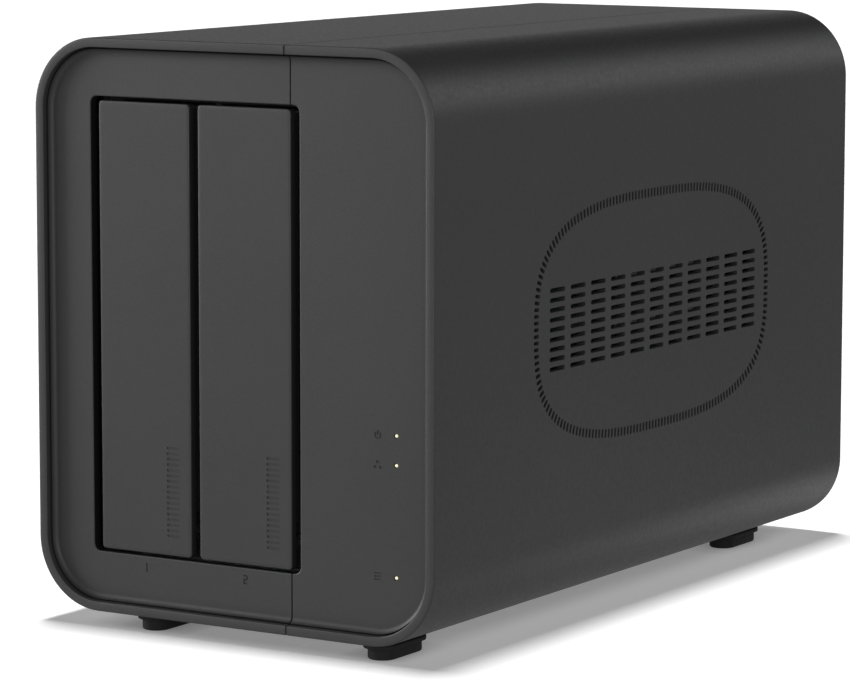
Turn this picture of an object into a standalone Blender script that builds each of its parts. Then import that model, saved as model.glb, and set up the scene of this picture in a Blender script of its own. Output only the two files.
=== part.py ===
"""Two-bay desktop network attached storage, modelled as the pieces it comes apart into.

Blender 4.5 script: blender --background --python part.py
Lengths below are millimetres; MM turns them into Blender's metres. +Z is up, the drive bays face -Y,
and the origin is on the floor under the middle of the enclosure.
"""

import math

import bmesh
import bpy
from mathutils import Matrix, Vector

MM = 0.001

# ---------------------------------------------------------------- driving dimensions
WIDTH = 119.0
DEPTH = 222.0
BODY_HEIGHT = 146.0
FOOT_HEIGHT = 4.0
CORNER_R = 18.2
WALL = 2.4
GAP = 0.3  # between pieces that touch

FRONT = -DEPTH / 2
REAR = DEPTH / 2
MID_Z = FOOT_HEIGHT + BODY_HEIGHT / 2
FLOOR_Z = FOOT_HEIGHT + WALL
CEILING_Z = FOOT_HEIGHT + BODY_HEIGHT - WALL

# front face: a rim, a cove, and a plate set back inside it
RECESS = 2.8
PLATE = 2.5
PLATE_FRONT = FRONT + RECESS
PLATE_BACK = PLATE_FRONT + PLATE
SEAM_X = 16.45
SEAM_GAP = 0.3

# the opening for the drive bays
BAY_LEFT, BAY_RIGHT = -44.2, 19.05
BAY_BOTTOM, BAY_TOP = 19.1, 135.2
BAY_CORNER_R = 1.7
TRAY_WIDTH = 27.6
TRAY_GAP = (BAY_RIGHT - BAY_LEFT - 2 * TRAY_WIDTH) / 3
TRAY_BOTTOM, TRAY_TOP = 20.0, 134.1
TRAY_X = {
    "tray_1": BAY_LEFT + TRAY_GAP + TRAY_WIDTH / 2,
    "tray_2": BAY_RIGHT - TRAY_GAP - TRAY_WIDTH / 2,
}

# the lever that closes each tray, and the carrier behind it
LEVER_THICK = 2.2
LEVER_BACK = PLATE_FRONT + LEVER_THICK
HINGE_Y = PLATE_FRONT + 4.6
HINGE_Z = TRAY_BOTTOM + 6.1
PIN_R = 0.9
PIN_HOLE_R = 1.2
BULKHEAD_Y = (-100.6, -94.0)
RAIL_BACK = 58.0
RAIL_HEIGHT = 4.4
CARRIER_HALF = 13.5
CARRIER_BOTTOM, CARRIER_TOP = 22.0, 133.2
SIDE_PLATE = 0.8

# a 3.5 inch drive standing on edge
DRIVE = (26.1, 147.0, 101.6)
DRIVE_FRONT = -93.5
DRIVE_BOTTOM = 26.8

# touch latch behind the top of each lever
LATCH_Z = (112.3, 123.7)
LATCH_HALF = 6.0
PLUNGER_R = 2.0
PLUNGER_TIP_Y = LEVER_BACK + GAP
PLUNGER_BACK_Y = -97.5
PLUNGER_POCKET_Y = -95.7

# sheet steel cage round the bays
CAGE_X = (-47.6, 22.4)
CAGE_Y = (-98.0, 70.0)
CAGE_Z = (17.2, 138.0)
SHEET = 0.9
BACKPLANE_Y = (62.0, 63.6)

# rear panel, fan and the column of sockets
PANEL_Y = (103.3, 104.5)
FAN_CENTRE = (-14.0, 77.0)
FAN_SIZE = 80.0
FAN_Y = (78.0, 103.0)
FAN_BORE_R = 38.4
FAN_SCREW_PITCH = 71.5
BOARD_X = (28.0, 29.6)
BOARD_Y = (-72.0, 102.5)
BOARD_Z = (20.5, 128.0)
SOCKET_X = BOARD_X[1] + GAP
SOCKET_FACE = 104.9
DC_AT = (SOCKET_X + 5.5, 25.6)
BUTTON_AT = (36.4, 121.0)
BUTTON_R = 4.0
THUMB_AT = [(49.0, 130.0), (49.0, 24.0)]
PANEL_SCREW_AT = [(-50.0, 128.0), (-50.0, 26.0)]

# oval of short slots in the right wall, round a grid of level slots
VENT_HALF = (62.5, 30.7)
VENT_POWER = 3.0
VENT_SLOTS = 190
VENT_SLOT = (0.85, 2.4)
BAND_COLUMNS = 11
BAND_ROWS = 9
BAND_SLOT = (7.6, 1.1)
BAND_PITCH = (10.4, 2.5)

LIGHT_X = 46.95
LIGHT_Z = (56.1, 48.8, 21.1)
LIGHT_R = 0.4

FOOT_AT = {
    "foot_front_left": (-27.3, -99.0),
    "foot_front_right": (40.8, -99.0),
    "foot_rear_left": (-27.3, 79.8),
    "foot_rear_right": (40.8, 79.8),
}
FOOT_PAD = (7.4, 18.6)
FOOT_FLANGE = (9.4, 21.0)

COLOURS = {
    "shell": ((0.045, 0.045, 0.047), 0.55, 0.0),
    "tray": ((0.05, 0.05, 0.052), 0.5, 0.0),
    "carrier": ((0.02, 0.02, 0.021), 0.6, 0.0),
    "rubber": ((0.015, 0.015, 0.015), 0.85, 0.0),
    "steel": ((0.42, 0.43, 0.44), 0.4, 1.0),
    "black_steel": ((0.03, 0.03, 0.032), 0.5, 0.0),
    "aluminium": ((0.55, 0.56, 0.57), 0.35, 1.0),
    "board": ((0.01, 0.07, 0.035), 0.45, 0.0),
    "black_plastic": ((0.012, 0.012, 0.013), 0.45, 0.0),
    "connector": ((0.5, 0.5, 0.51), 0.3, 1.0),
    "lens": ((0.75, 0.9, 0.55), 0.2, 0.0),
}


# ---------------------------------------------------------------- outlines and solids
def rectangle(u0, v0, u1, v1):
    return [(u0, v0), (u1, v0), (u1, v1), (u0, v1)]


def rounded(u, v, width, height, radius, steps=6):
    """A rectangle about (u, v) with round corners, anticlockwise."""
    points = []
    for k, (su, sv) in enumerate(((1, 1), (-1, 1), (-1, -1), (1, -1))):
        cu = u + su * (width / 2 - radius)
        cv = v + sv * (height / 2 - radius)
        for step in range(steps + 1):
            a = math.radians(90 * (k + step / steps))
            points.append((cu + radius * math.cos(a), cv + radius * math.sin(a)))
    return points


def circle(u, v, radius, sides=24):
    turns = [2 * math.pi * (k + 0.5) / sides for k in range(sides)]
    return [(u + radius * math.cos(a), v + radius * math.sin(a)) for a in turns]


def at(axis, u, v, w):
    """The point at (u, v) across the axis and w along it."""
    return {"X": (w, u, v), "Y": (u, w, v), "Z": (u, v, w)}[axis]


def loft(axis, sections):
    """A closed solid through (position, outline) sections, whose outlines have as many points each."""
    bm = bmesh.new()
    rings = [[bm.verts.new(at(axis, u, v, w)) for u, v in outline] for w, outline in sections]
    count = len(rings[0])
    for one, two in zip(rings, rings[1:]):
        for k in range(count):
            n = (k + 1) % count
            bm.faces.new((one[k], one[n], two[n], two[k]))
    bm.faces.new(rings[0])
    bm.faces.new(rings[-1])
    bmesh.ops.recalc_face_normals(bm, faces=bm.faces)
    return bm


def prism(axis, outline, start, end):
    return loft(axis, [(start, outline), (end, outline)])


def box(x0, x1, y0, y1, z0, z1):
    return prism("Z", rectangle(x0, y0, x1, y1), z0, z1)


def rod(axis, u, v, radius, start, end, sides=16):
    return prism(axis, circle(u, v, radius, sides), start, end)


def turned(axis, u, v, profile, sides=16):
    """A solid of revolution through (position along the axis, radius) pairs."""
    return loft(axis, [(w, circle(u, v, radius, sides)) for w, radius in profile])


def several(shapes):
    """Shapes that don't touch, as one cutter."""
    whole = bmesh.new()
    for shape in shapes:
        mesh = bpy.data.meshes.new("several")
        shape.to_mesh(mesh)
        shape.free()
        whole.from_mesh(mesh)
        bpy.data.meshes.remove(mesh)
    return whole


# ---------------------------------------------------------------- objects
def clear_scene():
    for obj in list(bpy.data.objects):
        bpy.data.objects.remove(obj)


def material(name):
    found = bpy.data.materials.get(name)
    if found:
        return found
    colour, roughness, metallic = COLOURS[name]
    made = bpy.data.materials.new(name)
    made.use_nodes = True
    shader = made.node_tree.nodes["Principled BSDF"]
    shader.inputs["Base Color"].default_value = (*colour, 1.0)
    shader.inputs["Roughness"].default_value = roughness
    shader.inputs["Metallic"].default_value = metallic
    return made


def add(name, shape, finish, origin=(0, 0, 0)):
    """Makes an object of a shape in millimetres, with its own origin there."""
    mesh = bpy.data.meshes.new(name)
    shape.transform(Matrix.Scale(MM, 4) @ Matrix.Translation(-Vector(origin)))
    shape.to_mesh(mesh)
    shape.free()
    obj = bpy.data.objects.new(name, mesh)
    obj.location = Vector(origin) * MM
    bpy.context.scene.collection.objects.link(obj)
    if finish:
        mesh.materials.append(material(finish))
        mesh.shade_smooth()
        mesh.set_sharp_from_angle(angle=math.radians(30))
    return obj


def combine(obj, shape, operation):
    cutter = add(f"{operation.lower()}_{len(bpy.data.objects)}", shape, None)
    cutter.hide_render = True
    cutter.display_type = "WIRE"
    modifier = obj.modifiers.new(cutter.name, "BOOLEAN")
    modifier.operation = operation
    modifier.solver = "EXACT"
    modifier.object = cutter
    return obj


def cut(obj, *shapes):
    for shape in shapes:
        combine(obj, shape, "DIFFERENCE")
    return obj


def fuse(obj, *shapes):
    for shape in shapes:
        combine(obj, shape, "UNION")
    return obj


# ---------------------------------------------------------------- enclosure
def body_outline(inset):
    radius = CORNER_R - inset
    return rounded(0, MID_Z, WIDTH - 2 * inset, BODY_HEIGHT - 2 * inset, radius, steps=10)


def shell_half(name, other_half):
    """One of the two mouldings of the enclosure: the whole shell less the other half."""
    edge = 0.5
    blank = loft("Y", [
        (FRONT, body_outline(edge)),
        (FRONT + edge, body_outline(0)),
        (REAR - edge, body_outline(0)),
        (REAR, body_outline(edge)),
    ])
    shell = add(name, blank, "shell")
    recess = loft("Y", [
        (FRONT - 1, body_outline(WALL)),
        (FRONT + 1.4, body_outline(WALL + 0.1)),
        (FRONT + 2.3, body_outline(WALL + 0.6)),
        (PLATE_FRONT, body_outline(WALL + 1.6)),
    ])
    inside = prism("Y", body_outline(WALL), PLATE_BACK, REAR + 1)
    opening = rounded(
        (BAY_LEFT + BAY_RIGHT) / 2, (BAY_BOTTOM + BAY_TOP) / 2,
        BAY_RIGHT - BAY_LEFT, BAY_TOP - BAY_BOTTOM, BAY_CORNER_R,
    )
    cut(shell, recess, inside, prism("Y", opening, FRONT - 1, PLATE_BACK + 1), sill_flare(), other_half)
    return shell


def sill_flare():
    """Slopes the sill of the bay opening down behind its front edge, clear of the levers' lower ends."""
    behind, over, drop = 0.6, 0.5, 0.9
    profile = [
        (PLATE_FRONT + behind, BAY_BOTTOM),
        (PLATE_BACK + 1, BAY_BOTTOM - drop * (PLATE + 1 - behind) / (PLATE - behind)),
        (PLATE_BACK + 1, BAY_BOTTOM + over),
        (PLATE_FRONT + behind, BAY_BOTTOM + over),
    ]
    return prism("X", profile, BAY_LEFT + BAY_CORNER_R, BAY_RIGHT - BAY_CORNER_R)


def foot_holes(names):
    return [rod("Z", *FOOT_AT[name], 2.4, FOOT_HEIGHT - 1, FLOOR_Z + 1, 12) for name in names]


def main_housing():
    """The left moulding, with the ribs that carry the cage and the bosses for the rear panel."""
    seam = SEAM_X - SEAM_GAP / 2
    other = box(seam, WIDTH, FRONT - 5, REAR + 5, -5, 160)
    housing = shell_half("main_housing", other)
    into_wall = 1.2
    for x in (-38.0, 8.0):
        fuse(housing, box(x - 1, x + 1, -90, 60, FLOOR_Z - into_wall, CAGE_Z[0] - GAP))
        fuse(housing, box(x - 1, x + 1, -90, 60, CAGE_Z[1] + GAP, CEILING_Z + into_wall))
    for x, z in PANEL_SCREW_AT:
        outline = rectangle(-WIDTH / 2 + into_wall, z - 5, x + 5, z + 5)
        fuse(housing, prism("Y", outline, 88, PANEL_Y[0] - GAP))
        cut(housing, rod("Y", x, z, 1.7, 90, 104, 12))
    cut(housing, several(foot_holes(["foot_front_left", "foot_rear_left"])))
    numerals(housing)


def numerals(housing):
    """Shallow bay numbers, 1 and 2, under the trays."""
    height, stroke, depth = 2.4, 0.35, 0.25
    z = 16.1
    x1, x2 = TRAY_X["tray_1"], TRAY_X["tray_2"]
    low, high = z - height / 2, z + height / 2
    half = 0.7
    strokes = [
        rectangle(x1 - stroke / 2, low, x1 + stroke / 2, high),
        [
            (x2 - half, low), (x2 + half, low), (x2 + half, low + stroke),
            (x2 - half + stroke, low + stroke), (x2 - half + stroke, z - stroke / 2),
            (x2 + half, z - stroke / 2), (x2 + half, high), (x2 - half, high),
            (x2 - half, high - stroke), (x2 + half - stroke, high - stroke),
            (x2 + half - stroke, z + stroke / 2), (x2 - half, z + stroke / 2),
        ],
    ]
    cut(housing, several(prism("Y", s, PLATE_FRONT - 1, PLATE_FRONT + depth) for s in strokes))


def oval_point(turn):
    c, s = math.cos(turn), math.sin(turn)
    power = 2 / VENT_POWER
    return Vector((
        VENT_HALF[0] * math.copysign(abs(c) ** power, c),
        VENT_HALF[1] * math.copysign(abs(s) ** power, s),
    ))


def spaced_round_oval(count):
    """(point, outward direction) at equal steps of length round the vent's oval."""
    fine = [oval_point(2 * math.pi * k / 4000) for k in range(4001)]
    along = [0.0]
    for a, b in zip(fine, fine[1:]):
        along.append(along[-1] + (b - a).length)
    places = []
    k = 0
    for n in range(count):
        target = along[-1] * (n + 0.5) / count
        while along[k + 1] < target:
            k += 1
        step = fine[k + 1] - fine[k]
        part = (target - along[k]) / step.length
        out = Vector((step.y, -step.x)).normalized()
        places.append((fine[k] + step * part, out))
    return places


def vent_outlines():
    """Outlines, in Y and Z, of every slot in the right wall."""
    outlines = []
    width, length = VENT_SLOT
    centre = Vector((0, MID_Z))
    for point, out in spaced_round_oval(VENT_SLOTS):
        side = Vector((-out.y, out.x)) * width / 2
        reach = out * length / 2
        middle = centre + point
        corners = (middle - reach - side, middle + reach - side, middle + reach + side, middle - reach + side)
        outlines.append([tuple(c) for c in corners])
    for row in range(BAND_ROWS):
        v = MID_Z + (row - (BAND_ROWS - 1) / 2) * BAND_PITCH[1]
        for column in range(BAND_COLUMNS):
            u = (column - (BAND_COLUMNS - 1) / 2) * BAND_PITCH[0]
            half_u, half_v = BAND_SLOT[0] / 2, BAND_SLOT[1] / 2
            outlines.append(rectangle(u - half_u, v - half_v, u + half_u, v + half_v))
    return outlines


def side_cover():
    """The right moulding: vents in its wall, holes for the lights, lugs for the thumb screws."""
    seam = SEAM_X + SEAM_GAP / 2
    cover = shell_half("side_cover", box(-WIDTH, seam, FRONT - 5, REAR + 5, -5, 160))
    wall = WIDTH / 2
    cut(cover, several(prism("X", outline, wall - WALL - 1, wall + 1) for outline in vent_outlines()))
    hole = LIGHT_R + GAP
    cut(cover, several(rod("Y", LIGHT_X, z, hole, PLATE_FRONT - 1, PLATE_BACK + 1, 12) for z in LIGHT_Z))
    cut(cover, several(foot_holes(["foot_front_right", "foot_rear_right"])))
    for x, z in THUMB_AT:
        fuse(cover, box(x - 6, wall - 1.2, PANEL_Y[1] + GAP, PANEL_Y[1] + GAP + 1.5, z - 5.5, z + 5.5))
        cut(cover, rod("Y", x, z, 2.2, PANEL_Y[1] - 1, PANEL_Y[1] + 3, 12))
    for z in (35.0, 70.0):
        fuse(cover, rod("Y", LIGHT_X, z, 2.2, PLATE_BACK - 0.8, -100.2, 12))


def feet():
    for name, (x, y) in FOOT_AT.items():
        pad = rounded(x, y, *FOOT_PAD, FOOT_PAD[0] / 2 - 0.01)
        flange = rounded(x, y, *FOOT_FLANGE, FOOT_FLANGE[0] / 2 - 0.01)
        foot = add(name, prism("Z", pad, 0, 3.2), "rubber")
        fuse(foot, prism("Z", flange, 2.9, FOOT_HEIGHT - GAP))
        fuse(foot, rod("Z", x, y, 2.0, 3.3, FLOOR_Z - 0.2, 12))


# ---------------------------------------------------------------- rear
def socket_outlines():
    """Outlines, in X and Z, of the sockets' faces, by node name."""
    x = SOCKET_X
    return {
        "hdmi_port": rectangle(x, 99.5, x + 6.0, 114.5),
        "usb_port_1": rectangle(x, 84.8, x + 7.0, 97.9),
        "usb_port_2": rectangle(x, 69.6, x + 7.0, 82.7),
        "lan_port_1": rectangle(x, 51.2, x + 13.5, 67.2),
        "lan_port_2": rectangle(x, 33.2, x + 13.5, 49.2),
    }


def grown(outline, by):
    us = [u for u, _ in outline]
    vs = [v for _, v in outline]
    return rectangle(min(us) - by, min(vs) - by, max(us) + by, max(vs) + by)


def fan_slots():
    """Rows of slots inside the fan's circle, split by an upright bar."""
    fx, fz = FAN_CENTRE
    reach, pitch, height, bar = 37.0, 5.2, 3.0, 2.6
    outlines = []
    for row in range(-6, 7):
        v = row * pitch
        edge = max(abs(v - height / 2), abs(v + height / 2))
        half = math.sqrt(reach**2 - edge**2)
        for side in (-1, 1):
            u0, u1 = sorted((side * bar / 2, side * half))
            outlines.append(rectangle(fx + u0, fz + v - height / 2, fx + u1, fz + v + height / 2))
    return outlines


def fan_screw_places():
    fx, fz = FAN_CENTRE
    half = FAN_SCREW_PITCH / 2
    return [(fx + su * half, fz + sv * half) for sv in (1, -1) for su in (-1, 1)]


def rear_panel():
    panel = add("rear_panel", prism("Y", body_outline(WALL + GAP), *PANEL_Y), "black_steel")
    before, after = PANEL_Y[0] - 1, PANEL_Y[1] + 1
    cut(panel, several(prism("Y", o, before, after) for o in fan_slots()))
    cut(panel, several(prism("Y", grown(o, 0.4), before, after) for o in socket_outlines().values()))
    holes = [(x, z, 2.3) for x, z in fan_screw_places()]
    holes += [(x, z, 2.2) for x, z in THUMB_AT]
    holes += [(x, z, 1.8) for x, z in PANEL_SCREW_AT]
    holes += [(*BUTTON_AT, BUTTON_R + 0.4), (*DC_AT, 4.0)]
    cut(panel, several(rod("Y", x, z, r, before, after, 16) for x, z, r in holes))


def screws():
    y = PANEL_Y[1] + GAP
    for k, (x, z) in enumerate(fan_screw_places()):
        profile = [(92, 1.6), (93, 2.0), (y, 2.0), (y, 3.6), (y + 1.4, 3.4), (y + 2.2, 2.2)]
        add(f"fan_screw_{k + 1}", turned("Y", x, z, profile, 12), "steel")
    for k, (x, z) in enumerate(PANEL_SCREW_AT):
        profile = [(92, 1.0), (93, 1.4), (y, 1.4), (y, 3.0), (y + 1.2, 2.8), (y + 1.8, 1.8)]
        add(f"panel_screw_{k + 1}", turned("Y", x, z, profile, 12), "steel")
    for k, (x, z) in enumerate(THUMB_AT):
        head = y + 1.5 + GAP
        profile = [(98, 1.2), (99, 1.7), (head, 1.7), (head, 4.2), (head + 3.6, 4.2), (head + 4.0, 3.8)]
        add(f"thumb_screw_{k + 1}", turned("Y", x, z, profile, 20), "steel")


def fan():
    fx, fz = FAN_CENTRE
    y0, y1 = FAN_Y
    frame = add("fan_frame", prism("Y", rounded(fx, fz, FAN_SIZE, FAN_SIZE, 3.5), y0, y1), "black_plastic")
    cut(frame, rod("Y", fx, fz, FAN_BORE_R, y0 - 1, y1 + 1, 40))
    cut(frame, several(rod("Y", x, z, 2.4, y0 - 1, y1 + 1, 12) for x, z in fan_screw_places()))
    hub_r = 16.0
    fuse(frame, rod("Y", fx, fz, hub_r, y1 - 2.6, y1 - 0.2, 24))
    for k in range(4):
        a = math.radians(45 + 90 * k)
        along = Vector((math.cos(a), math.sin(a)))
        side = Vector((-along.y, along.x)) * 1.4
        inner, outer = along * (hub_r - 2), along * (FAN_BORE_R + 1.5)
        centre = Vector(FAN_CENTRE)
        corners = [centre + inner - side, centre + outer - side, centre + outer + side, centre + inner + side]
        fuse(frame, prism("Y", [tuple(c) for c in corners], y1 - 2.4, y1 - 0.5))
    rotor = add("fan_rotor", rod("Y", fx, fz, 16.4, y0 + 2, y1 - 3.2, 24), "black_plastic", (fx, 0, fz))
    fuse(rotor, several(blade(k) for k in range(7)))


def blade(k):
    """One fan blade: a thin twisted plate from inside the hub out to the bore."""
    chord, thick, middle = 17.0, 1.2, (FAN_Y[0] + FAN_Y[1]) / 2 - 0.5
    sections = []
    for radius, pitch in ((14.5, 50), (22.0, 43), (30.0, 36), (37.2, 30)):
        p = math.radians(pitch)
        corners = []
        for du, dw in rectangle(-chord / 2, -thick / 2, chord / 2, thick / 2):
            corners.append((du * math.cos(p) - dw * math.sin(p), du * math.sin(p) + dw * math.cos(p)))
        sections.append((radius, corners))
    shape = loft("X", sections)
    turn = Matrix.Rotation(math.radians(360 / 7 * k), 4, "Y")
    shape.transform(Matrix.Rotation(math.pi / 2, 4, "X"))
    shape.transform(Matrix.Translation((FAN_CENTRE[0], middle, FAN_CENTRE[1])) @ turn)
    return shape


def power_button():
    x, z = BUTTON_AT
    stop = PANEL_Y[0] - GAP
    profile = [(98.4, 2.0), (101.4, 2.0), (101.4, 5.2), (stop, 5.2)]
    profile += [(stop, BUTTON_R), (105.4, BUTTON_R), (106.0, BUTTON_R - 0.6)]
    add("power_button", turned("Y", x, z, profile, 20), "black_plastic", (x, 105, z))
    switch = add("power_switch", box(SOCKET_X, 41, 90, 96, z - 4, z + 4), "black_plastic")
    fuse(switch, rod("Y", x, z, 1.6, 95.5, 97.2, 12))


# ---------------------------------------------------------------- electronics
def sockets():
    outlines = socket_outlines()
    for name in ("lan_port_1", "lan_port_2"):
        (x0, z0), _, (x1, z1), _ = outlines[name]
        port = add(name, prism("Y", outlines[name], 83.5, SOCKET_FACE), "connector")
        mid = (z0 + z1) / 2
        cavity = rectangle(x0 + 3.2, mid - 5.9, x0 + 11.2, mid + 5.9)
        cut(port, prism("Y", cavity, 93.5, SOCKET_FACE + 1))
        cut(port, box(x0 + 1.6, x0 + 4.0, 97.0, SOCKET_FACE + 1, mid - 3.1, mid + 3.1))
    for name in ("usb_port_1", "usb_port_2", "hdmi_port"):
        (x0, z0), _, (x1, z1), _ = outlines[name]
        port = add(name, prism("Y", outlines[name], 91.0, SOCKET_FACE), "connector")
        wall = 0.5
        hollow = prism("Y", rectangle(x0 + wall, z0 + wall, x1 - wall, z1 - wall), 92.5, SOCKET_FACE + 1)
        cut(port, hollow)
        tongue = (x0 + x1) / 2
        fuse(port, box(tongue - 0.9, tongue + 0.9, 92.0, SOCKET_FACE - 1.2, z0 + 1.6, z1 - 1.6))
    x, z = DC_AT
    jack = add("dc_jack", box(SOCKET_X, SOCKET_X + 11, 90, PANEL_Y[0] - GAP, z - 4.5, z + 4.5), "black_plastic")
    fuse(jack, rod("Y", x, z, 3.7, PANEL_Y[0] - 1, SOCKET_FACE, 20))
    cut(jack, rod("Y", x, z, 2.9, 95, SOCKET_FACE + 1, 16))
    fuse(jack, rod("Y", x, z, 1.0, 94, SOCKET_FACE - 0.8, 10))


BOARD_SCREW_AT = [(y, z) for y in (-66.0, 56.0) for z in (32.0, 122.0)]


def main_board():
    """The logic board stands against the cage, with its parts facing the side cover."""
    board = add("main_board", box(*BOARD_X, *BOARD_Y, *BOARD_Z), "board")
    cut(board, several(rod("X", y, z, 1.6, BOARD_X[0] - 1, BOARD_X[1] + 1, 12) for y, z in BOARD_SCREW_AT))
    for k, (y, z) in enumerate(BOARD_SCREW_AT):
        x = BOARD_X[1] + GAP
        profile = [(24.0, 1.1), (x, 1.1), (x, 2.8), (x + 1.2, 2.5)]
        add(f"board_screw_{k + 1}", turned("X", y, z, profile, 12), "steel")
    x = BOARD_X[1] + GAP
    add("processor", box(x, x + 1.2, 0, 28, 75, 103), "black_plastic")
    sink = x + 1.2 + GAP
    fins, fin, pitch = 11, 1.2, 4.0
    bottom = 68.4
    comb = [(sink, bottom)]
    for k in range(fins):
        z = bottom + k * pitch
        comb += [(sink + 20, z), (sink + 20, z + fin)]
        if k < fins - 1:
            comb += [(sink + 3, z + fin), (sink + 3, z + pitch)]
    comb.append((sink, bottom + (fins - 1) * pitch + fin))
    add("heatsink", prism("Y", comb, -8, 36), "aluminium")
    socket = add("memory_socket", box(x, x + 7.5, -62, 9, 30, 36), "black_plastic")
    cut(socket, box(x + 3.2, x + 5.0, -61, 8, 33, 37))
    add("memory_module", box(x + 3.5, x + 4.7, -60.2, 7.2, 33.3, 63), "board")
    add("clock_battery", rod("X", -50, 112, 10, x, x + 3.2, 24), "steel")


def backplane():
    board = add("backplane", box(-44, 20, *BACKPLANE_Y, 24, 131), "board")
    for tray, cx in TRAY_X.items():
        cut(board, box(cx - 1, cx + 11, BACKPLANE_Y[0] - 1, BACKPLANE_Y[1] + 1, 48, 108))
        name = "sata_socket_" + tray[-1]
        add(name, box(cx - 10.8, cx - 6.2, 48.2, BACKPLANE_Y[0] - GAP, 60.6, 104.4), "black_plastic")


def indicators():
    add("indicator_board", box(39.5, 54.5, -99.9, -98.3, 14, 76), "board")
    for k, z in enumerate(LIGHT_Z):
        stop = PLATE_BACK + GAP
        profile = [(PLATE_FRONT + 0.05, LIGHT_R), (stop, LIGHT_R), (stop, 1.6), (-100.2, 1.6)]
        add(f"light_pipe_{k + 1}", turned("Y", LIGHT_X, z, profile, 12), "lens")


# ---------------------------------------------------------------- drive bays
def drive_cage():
    x0, x1 = CAGE_X
    z0, z1 = CAGE_Z
    cage = add("drive_cage", box(x0, x1, *CAGE_Y, z0, z1), "steel")
    y0, y1 = CAGE_Y
    cut(cage, box(x0 + SHEET, x1 - SHEET, y0 - 1, y1 + 1, z0 + SHEET, z1 - SHEET))
    cut(cage, several(box(x0 - 2, x1 + 2, y, y + 19, 44, 110) for y in (-84, -52, -20, 12)))
    for y, z in BOARD_SCREW_AT:
        fuse(cage, rod("X", y, z, 2.8, x1 - 0.5, BOARD_X[0] - GAP, 12))
        cut(cage, rod("X", y, z, 1.5, x1 + 0.6, BOARD_X[0] + 1, 12))


def bay_guides():
    """Plastic runners above and below the trays, with a ridge each side of every tray."""
    x0, x1 = CAGE_X[0] + SHEET + 0.4, CAGE_X[1] - SHEET - 0.4
    middle = (TRAY_X["tray_1"] + TRAY_X["tray_2"]) / 2
    left, right = TRAY_X["tray_1"] - CARRIER_HALF - 0.6, TRAY_X["tray_2"] + CARRIER_HALF + 0.6
    ridges = ((x0, left), (middle - 1.0, middle + 1.0), (right, x1))
    low, high = CAGE_Z[0] + SHEET + 0.4, CAGE_Z[1] - SHEET - 0.4
    bottom = [(x0, low), (x1, low)]
    top = [(x0, high), (x1, high)]
    for a, b in reversed(ridges):
        bottom += [(b, 25.0), (a, 25.0)] if b == x1 else [(b, 21.4), (b, 25.0), (a, 25.0)]
        top += [(b, 130.2), (a, 130.2)] if b == x1 else [(b, 133.8), (b, 130.2), (a, 130.2)]
        if a != x0:
            bottom.append((a, 21.4))
            top.append((a, 133.8))
    add("bay_guide_bottom", prism("Y", bottom, -97, 60), "carrier")
    add("bay_guide_top", prism("Y", top, -97, 60), "carrier")


def tray(name, cx):
    """A carrier that slides out with its drive, closed by a sprung lever that is its front."""
    number = name[-1]
    left, right = cx - CARRIER_HALF, cx + CARRIER_HALF
    y0, y1 = BULKHEAD_Y
    carrier = add(f"{name}_carrier", box(left, right, y0, y1, CARRIER_BOTTOM, CARRIER_TOP), "carrier")
    over = y1 - 1
    rails = (CARRIER_BOTTOM, CARRIER_BOTTOM + RAIL_HEIGHT), (CARRIER_TOP - RAIL_HEIGHT, CARRIER_TOP)
    for z0, z1 in rails:
        fuse(carrier, box(left, right, over, RAIL_BACK, z0, z1))
    fuse(carrier, box(left, left + SIDE_PLATE, over, 50, CARRIER_BOTTOM + 1, CARRIER_TOP - 1))
    cut(carrier, several(box(left - 1, left + 2, y, y + 19, 44, 110) for y in (-84, -52, -20, 12)))
    cut(carrier, box(cx - 9, cx + 9, y0 - 1, y1 + 1, 36, 68), box(cx - 9, cx + 9, y0 - 1, y1 + 1, 74, 106))
    pocket = LATCH_HALF + GAP
    cut(carrier, box(cx - pocket, cx + pocket, y0 - 1, y1 + 1, LATCH_Z[0] - GAP, LATCH_Z[1] + GAP))
    for side in (-1, 1):
        ear = prism("X", ear_outline(), *sorted((cx + side * 11.2, cx + side * 13.2)))
        fuse(carrier, ear)
    cut(carrier, rod("X", HINGE_Y, HINGE_Z, PIN_HOLE_R, left - 1, right + 1, 12))

    body = box(cx - LATCH_HALF, cx + LATCH_HALF, y0 + 0.2, y1 - 0.2, *LATCH_Z)
    latch = add(f"{name}_latch", body, "black_plastic")
    middle = sum(LATCH_Z) / 2
    cut(latch, rod("Y", cx, middle, PLUNGER_R + GAP, y0 - 1, PLUNGER_POCKET_Y, 16))
    profile = [(PLUNGER_TIP_Y, PLUNGER_R - 0.5), (PLUNGER_TIP_Y + 0.5, PLUNGER_R), (PLUNGER_BACK_Y, PLUNGER_R)]
    add(f"{name}_plunger", turned("Y", cx, middle, profile, 16), "connector", (cx, PLUNGER_TIP_Y, middle))

    lever(f"{name}_lever", cx)
    pin = rod("X", HINGE_Y, HINGE_Z, PIN_R, cx - 13.2, cx + 13.2, 12)
    add(f"{name}_hinge_pin", pin, "steel", (cx, HINGE_Y, HINGE_Z))
    spring(f"{name}_lever_spring", cx)
    hard_drive(f"hard_drive_{number}", cx)


def ear_outline():
    """Side view, in Y and Z, of the carrier's ear round the hinge pin."""
    radius = 2.0
    nose = []
    for k in range(9):
        a = math.radians(90 + 180 * k / 8)
        nose.append((HINGE_Y + radius * math.cos(a), HINGE_Z + radius * math.sin(a)))
    back = BULKHEAD_Y[0] + 0.8
    return [(back, HINGE_Z + radius), *nose, (back, HINGE_Z - radius)]


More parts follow.
